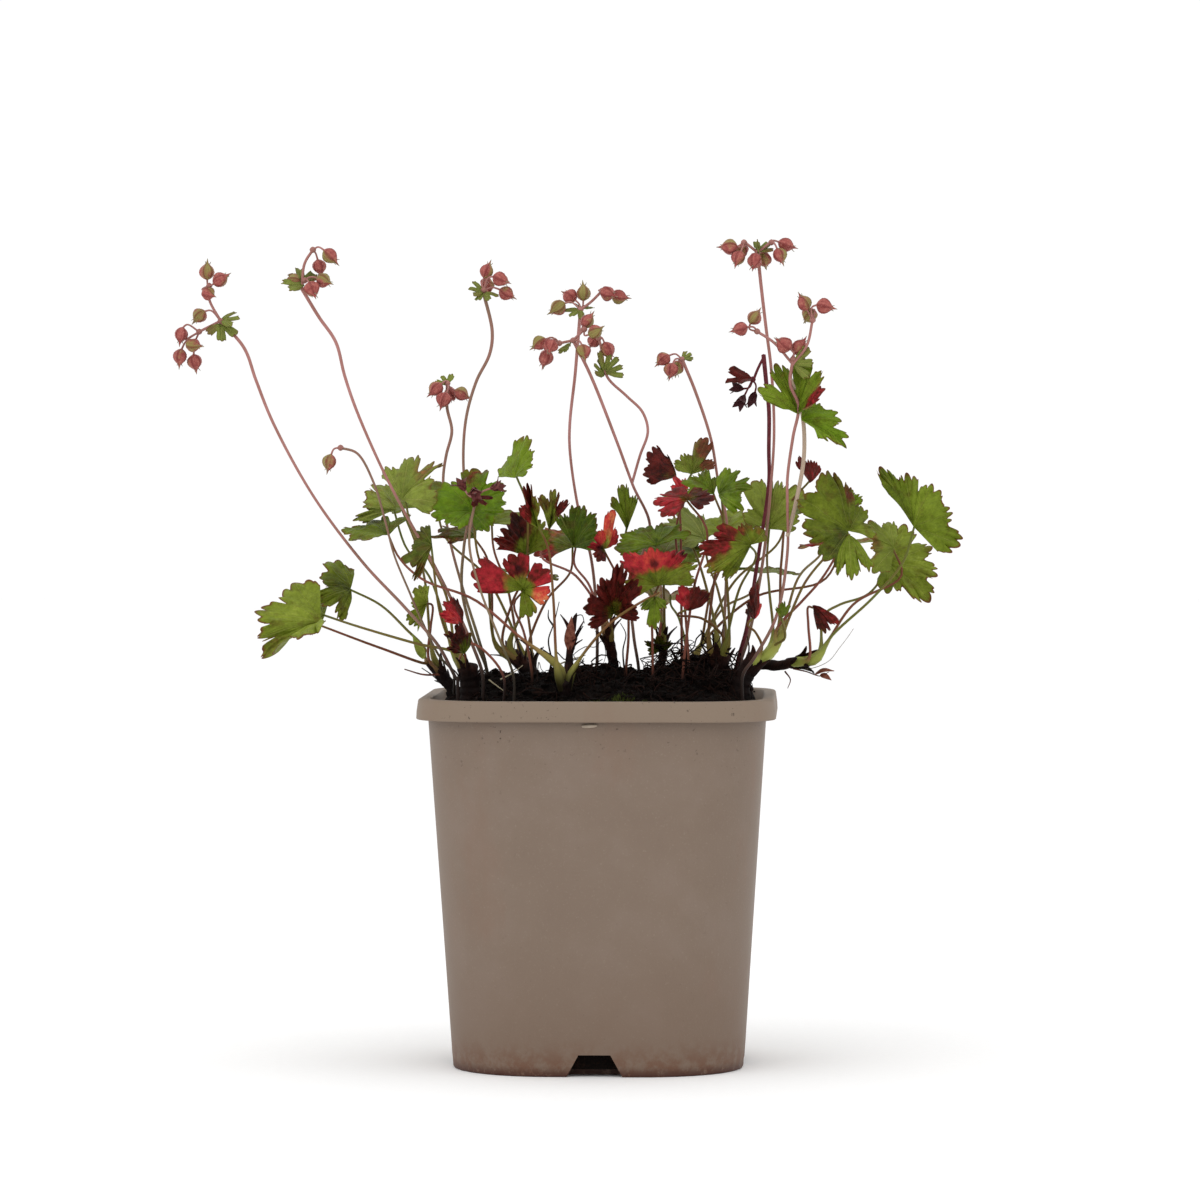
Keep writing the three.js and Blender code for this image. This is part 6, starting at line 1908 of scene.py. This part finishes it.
@dataclass(frozen=True)
class Foliage:
    """The crowns, the red leaves and the flower stems, from their tables."""

    leaves: LeafShape = LeafShape()
    bracts: LeafShape = LeafShape(columns=12, rows=6, half_thickness=0.15, shoulder=0.5)
    stalks: StalkShape = StalkShape()
    calyx: CalyxShape = CalyxShape()

    def rhizome(self, crown: Crown) -> Surface:
        """A rhizome: a thick tube that swells and narrows three times, ringed by old leaf scars.

        Args:
            crown: Whose rhizome.
        Returns:
            The tube.
        """
        path = smooth_route(crown.rhizome, 40)
        t = np.linspace(0, 1, 40)
        rings = 1 + 0.05 * np.sin(t * 60) + 0.04 * np.sin(t * 23 + crown.thickness)
        radii = crown.thickness * (1 - 0.12 * np.cos(9 * t)) * rings * (1 - (1 - crown.slim) * t**3)
        return tube(path, radii, 14)

    def scales(self, crown: Crown, seed: int) -> list[Surface]:
        """Old stipules round a rhizome's top: pointed strips that stand up and lean out.

        Args:
            crown: Whose scales.
            seed: For its draws.
        Returns:
            The strips.
        """
        top, axis = crown.top()
        side, other = across(axis, (0.3, 0.9, 0.1))
        strips = []
        for k in range(crown.scales):
            out = turned_by(side, other, 2.4 * k + seed)
            foot = top + out * crown.thickness * 0.75 - axis * (1 + 8 * draw(seed + k, 3))
            length = 5 + 5 * draw(seed + k, 4)
            tip = foot + axis * length + out * (1.5 + 2.5 * draw(seed + k, 5))
            elbow = foot + (axis * 0.5 + out * 0.12) * length
            path = smooth_route([foot, elbow, tip], 8)
            half = (1.1 + 0.9 * draw(seed + k, 6)) * np.sqrt(np.linspace(1, 0.01, 8))
            half[0] *= 0.6
            strips.append(strap(path, half, -out, fold=0.5))
        return strips

    def crown(self, crown: Crown, seed: int) -> None:
        """Makes a crown: its rhizome with its scales, its petioles and its blades.

        Args:
            crown: The crown.
            seed: For its draws.
        """
        top, axis = crown.top()
        bark, petioles, blades = (Sheaf(f"{crown.node}_{part}") for part in ("rhizome", "petioles", "blades"))
        bark.add(self.rhizome(crown), *self.scales(crown, seed))
        for i, leaf in enumerate(crown.leaves):
            x, y, _ = np.subtract(leaf.at, top)
            angle = math.atan2(y, x) + (i % 3 - 1) * 0.6
            aim = np.array([math.cos(angle), math.sin(angle), 0])
            root = top - 3 * axis + 0.35 * crown.thickness * aim
            neck = top + (4 + i % 2) * axis + crown.thickness * aim
            flush = crown.flush + 0.75 * (draw(leaf.seed, 70) - 0.35)
            petioles.add(self.stalks.petiole(leaf, [root, neck], flush, crown.sheath))
            blades.add(self.leaves.blade(leaf))
        bark.make(self.finishes["bark"], "foliage", [crown.node])
        petioles.make(self.finishes["petiole"], "foliage", [crown.node])
        blades.make(self.finishes["blade"], "foliage", [crown.node])

    def lone_leaf(self, lone: LoneLeaf) -> None:
        """Makes a red leaf and its petiole.

        Args:
            lone: The leaf and its foot.
        """
        foot = self.stalks.rooted(lone.foot)[::-1]
        petiole = Sheaf(f"{lone.node}_petiole", self.stalks.petiole(lone.leaf, foot, 0.75, 0.0))
        petiole.make(self.finishes["petiole"], "red_foliage", [lone.node])
        blade = Sheaf(f"{lone.node}_blade", self.leaves.blade(lone.leaf))
        blade.make(self.finishes["blade"], "red_foliage", [lone.node])

    def knot(self, at: Point, radius: float, flush: float) -> Surface:
        """The swelling where stalks part: a ball of four rings.

        Args:
            at: Its middle.
            radius: How thick it is.
            flush: How red it is.
        Returns:
            The ball.
        """
        end = np.array([0, 0, 0.8 * radius])
        path = np.linspace(array(at) - end, array(at) + end, 5)
        return tube(path, radius * np.array([0.55, 0.92, 1.05, 0.92, 0.55])).marked(flush=flush, pale=0)

    def bract(self, bract: Bract, seed: int, dead: float) -> Surface:
        """A bract's blade, cut into narrow lobes; on a dead stem it is maroon.

        Args:
            bract: The bract.
            seed: For its draws.
            dead: How dead its stem is.
        Returns:
            The blade.
        """
        turned = (0.8, 0.2, 0.3) if draw(seed, 1) > 0.5 else (0.2, 0.1, 0.5)
        look = Look(Hue.MID, turned, core=0.2, heat=0.3, rim=0.8, pale=0.6)
        if dead:
            look = Look(Hue.DARK, (0.9,) * bract.lobes, core=0.8, heat=0.22)
        tip = bract.at + 0.87 * np.subtract(bract.tip, bract.at)
        return self.bracts.blade(round_leaf(seed, bract.at, tip, bract.face, look, bract.lobes, 66, 0.5))

    def flower_stem(self, stem: FlowerStem, seed: int) -> None:
        """Makes a flower stem: its stalks and pedicels, its calyces and its bracts.

        Args:
            stem: The stem.
            seed: For its draws.
        """
        parts = ("stalks", "calyces", "bracts")
        stalks, calyces, bracts = (Sheaf(f"{stem.node}_{part}") for part in parts)
        whole = [*stem.route, *self.stalks.rooted(stem.foot)]
        count = 10 * len(whole)
        t = np.linspace(0, 1, count)
        widths = (self.stalks.stem_tip, self.stalks.stem_middle, self.stalks.stem_foot)
        radii = stem.width * np.interp(t, (0, 0.4, 1), widths)
        flush = stem.flush - 0.3 * smoothstep(0.3, 0.85, t)
        main = tube(smooth_route(whole, count), radii, 10)
        main.marked(flush=np.append(np.repeat(flush, 10), [flush[0], flush[-1]]), pale=0)
        stalks.add(self.stalks.soiled(main, self.stalks.stem_soil_and_shade))
        for k, branch in enumerate(stem.branches):
            path = smooth_route(branch, 8 * len(branch))
            beige = float(k == stem.beige)
            tones = {"flush": stem.flush - 0.1 * beige, "pale": 0, "beige": 0.85 * beige}
            stalks.add(tube(path, self.stalks.branch * (1 + 0.5 * beige)).marked(**tones))
        for k, head in enumerate(stem.heads):
            stalks.add(self.knot(head.start, self.stalks.knot, 0.8))
            for j, (at, aim) in enumerate(head.buds):
                number = seed * 100 + 10 * k + j
                size = 0.88 + 0.14 * draw(number, 9)
                stalks.add(self.calyx.pedicel(head.start, at, aim, self.stalks.pedicel))
                if stem.dead > 0.5:
                    calyces.add(*self.calyx.dried(at, aim, number, stem.dead))
                else:
                    calyces.add(*self.calyx.bag(at, aim, number, size, stem.dead))
        bracts.add(*[self.bract(b, seed * 100 + 90 + k, stem.dead) for k, b in enumerate(stem.bracts)])
        bracts.add(*[self.leaves.blade(leaf) for leaf in stem.leaves])
        slot, skin = ("dead_stem", "dry") if stem.dead == 1 else ("stem", "stalk")
        stalks.make(self.finishes[skin], slot, [stem.node])
        calyces.make(self.finishes["calyx"], slot, [stem.node])
        if bracts.surfaces:
            bracts.make(self.finishes["blade"], slot, [stem.node])

    @cached_property
    def finishes(self) -> dict[str, Material]:
        """The plant's materials, made once.

        Returns:
            The materials by the names of what they cover.
        """
        browner = ("#62672b", "#6d5a2c", "#6a4129", "#7b4538", "#8c5449")
        return {
            "blade": LeafBlade().material(),
            "stalk": FreshStalk().material(),
            "calyx": CalyxSkin().material(),
            "petiole": FreshStalk("cranesbill_petiole", browner).material(),
            "bark": DeadStalk().material(),
            "dry": DeadStalk("cranesbill_dry_stalk", "#5c272d", "#86454a", 0.1).material(),
        }

    def build(self) -> None:
        """Makes the whole plant."""
        for k, crown in enumerate(CROWNS):
            self.crown(crown, k + 1)
        for lone in RED_LEAVES:
            self.lone_leaf(lone)
        for k, stem in enumerate([*FLOWER_STEMS, DEAD_STEM]):
            self.flower_stem(stem, k + 1)


@dataclass(frozen=True)
class Scrap:
    """Thin scraps of one kind, from their routes, the radius of both their ends, and their two tones."""

    name: str
    tones: tuple[str, str]
    radii: tuple[float, float]
    routes: list[Route]

    def build(self) -> None:
        """Makes them as tubes whose radius runs evenly from the first end to the second."""
        sheaf = Sheaf(self.name)
        for route in self.routes:
            path = smooth_route(route, 8 * len(route))
            sheaf.add(tube(path, np.linspace(*self.radii, len(path)), 6))
        sheaf.make(Plain(self.name, *self.tones).material(), "peat", [])


SCRAPS = [
    Scrap("dry_grass", ("#8a8069", "#b3a88c"), (0.3, 0.14), [
        [(-39, -33, 142), (-36, -36, 140), (-33, -38, 138)],
        [(-35, -30, 142), (-31, -28, 144), (-27, -26, 147)],
        [(-14, -10, 147), (-10, -9, 148.5), (-5, -8, 150)]]),
    Scrap("dry_twig", ("#4a2a22", "#7c4c3c"), (0.5, 0.25), [
        [(-57, -10, 143), (-64, -13, 143), (-71, -14, 145)]]),
    Scrap("black_root", ("#0c0605", "#2a1610"), (0.42, 0.14), [
        [(-19, -20, 140), (-17, -20, 148), (-18, -20, 156), (-16, -21, 162), (-14, -22, 170)],
        [(-16, -21, 161), (-18, -20, 164), (-18, -20, 167)],
        [(-12, -18, 143), (-11, -18, 156), (-11, -18, 160), (-9, -17, 164), (-6, -17, 165), (-5, -18, 162)],
        [(10, -16, 141), (9, -16, 152), (10, -15, 158), (8, -14, 162)],
        [(34, -24, 140), (38, -26, 150), (44, -28, 156), (46, -28, 162)],
        [(-24, -12, 142), (-25, -12, 152), (-30, -12, 156), (-31, -12, 152)]]),
    Scrap("hanging_rootlet", ("#3a1c18", "#6a3c30"), (0.34, 0.14), [
        [(71, -3, 145), (76, -6, 144), (81, -8, 142.5), (84, -9, 144)],
        [(68, -4, 144), (70, -7, 141), (69, -8, 138)]]),
    Scrap("hair_root", ("#6e625c", "#968a82"), (0.13, 0.09), [
        [(72, -3, 145), (77, -4, 145), (84, -8, 148), (88, -10, 153), (91, -12, 157), (93, -12, 160)]]),
]


@dataclass(frozen=True)
class Litter:
    """The rest of what lies on the peat: dry scales and bracts, a dead bud and moss at the rim."""

    bed: PeatBed = PeatBed()
    bud: Crown = Crown(
        "dead_bud", [(-10, -30, 136), (-10, -30, 148), (-9, -30, 160)], 1.5, [], scales=9, slim=0.6,
    )
    moss_at: tuple[tuple[float, float], ...] = ((47, -53), (21, -54), (2, -55), (10, -52))
    blades: int = 110

    def scale(self, start: Point, end: Point, half: float, face: Point) -> Surface:
        """A dry pointed scale between two points, widest at two fifths of its length."""
        path = smooth_route([start, np.add(start, end) / 2 + array(face) * 0.8, end], 8)
        return strap(path, half * np.array([0.35, 0.75, 1, 1, 0.85, 0.6, 0.32, 0.05]), face, 0.15, 0.4)

    def moss(self) -> Sheaf:
        """Tufts of moss: short pointed blades at draws within 4 mm of each tuft's middle.

        Returns:
            The tufts, not yet made an object.
        """
        sheaf = Sheaf("rim_moss")
        for k, (x, y) in enumerate(self.moss_at):
            number = np.arange(self.blades)
            far, turn = 4 * np.sqrt(draw(k, number)), 2 * np.pi * draw(k + 50, number)
            xs, ys = x + far * np.cos(turn), y + 0.6 * far * np.sin(turn)
            roots = np.stack([xs, ys, self.bed.height(xs, ys) - 0.2], axis=1)
            ways = np.stack([0.3 * np.cos(turn), 0.3 * np.sin(turn), np.ones(self.blades)], axis=1)
            sheaf.add(hairs(roots, ways, 2.6, k, 0.22))
        return sheaf

    def build(self) -> None:
        """Makes every scrap."""
        for scrap in SCRAPS:
            scrap.build()
        plant = Foliage()
        bud = Sheaf("dead_bud", plant.rhizome(self.bud), *plant.scales(self.bud, 3))
        bud.make(DeadStalk("dry_bud_scale", "#1d0d0a", "#5c2f26").material(), "peat", [])
        dry = Sheaf(
            "dry_bracts",
            self.scale((79, -8, 143), (86, -11, 144.5), 1.5, (0, -0.5, 0.8)),
            self.scale((81, -8, 143), (85, -9, 141), 1.1, (0.2, -0.9, 0.3)),
            self.scale((-10, -31, 153), (-9, -33, 165), 2.0, (0, -1, 0.1)),
        )
        dry.make(Plain("dry_bract", "#5a2c22", "#8e5a48").material(), "peat", [])
        green = Sheaf("green_stipule", self.scale((-64, -13, 149), (-68, -16, 158), 1.6, (0, -1, 0.2)))
        green.make(Plain("green_stipule", "#6d7a2c", "#98a04a").material(), "peat", [])
        self.moss().make(Plain("living_moss", "#1c210a", "#4a5220").material(), "peat", [])


def main() -> None:
    """Builds the studio and the object."""
    logging.basicConfig(level=logging.INFO, format="%(name)s %(message)s")
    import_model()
    Studio().build()
    Pot().build()
    PeatBed().build()
    Foliage().build()
    Litter().build()
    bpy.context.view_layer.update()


if __name__ == "__main__":
    main()
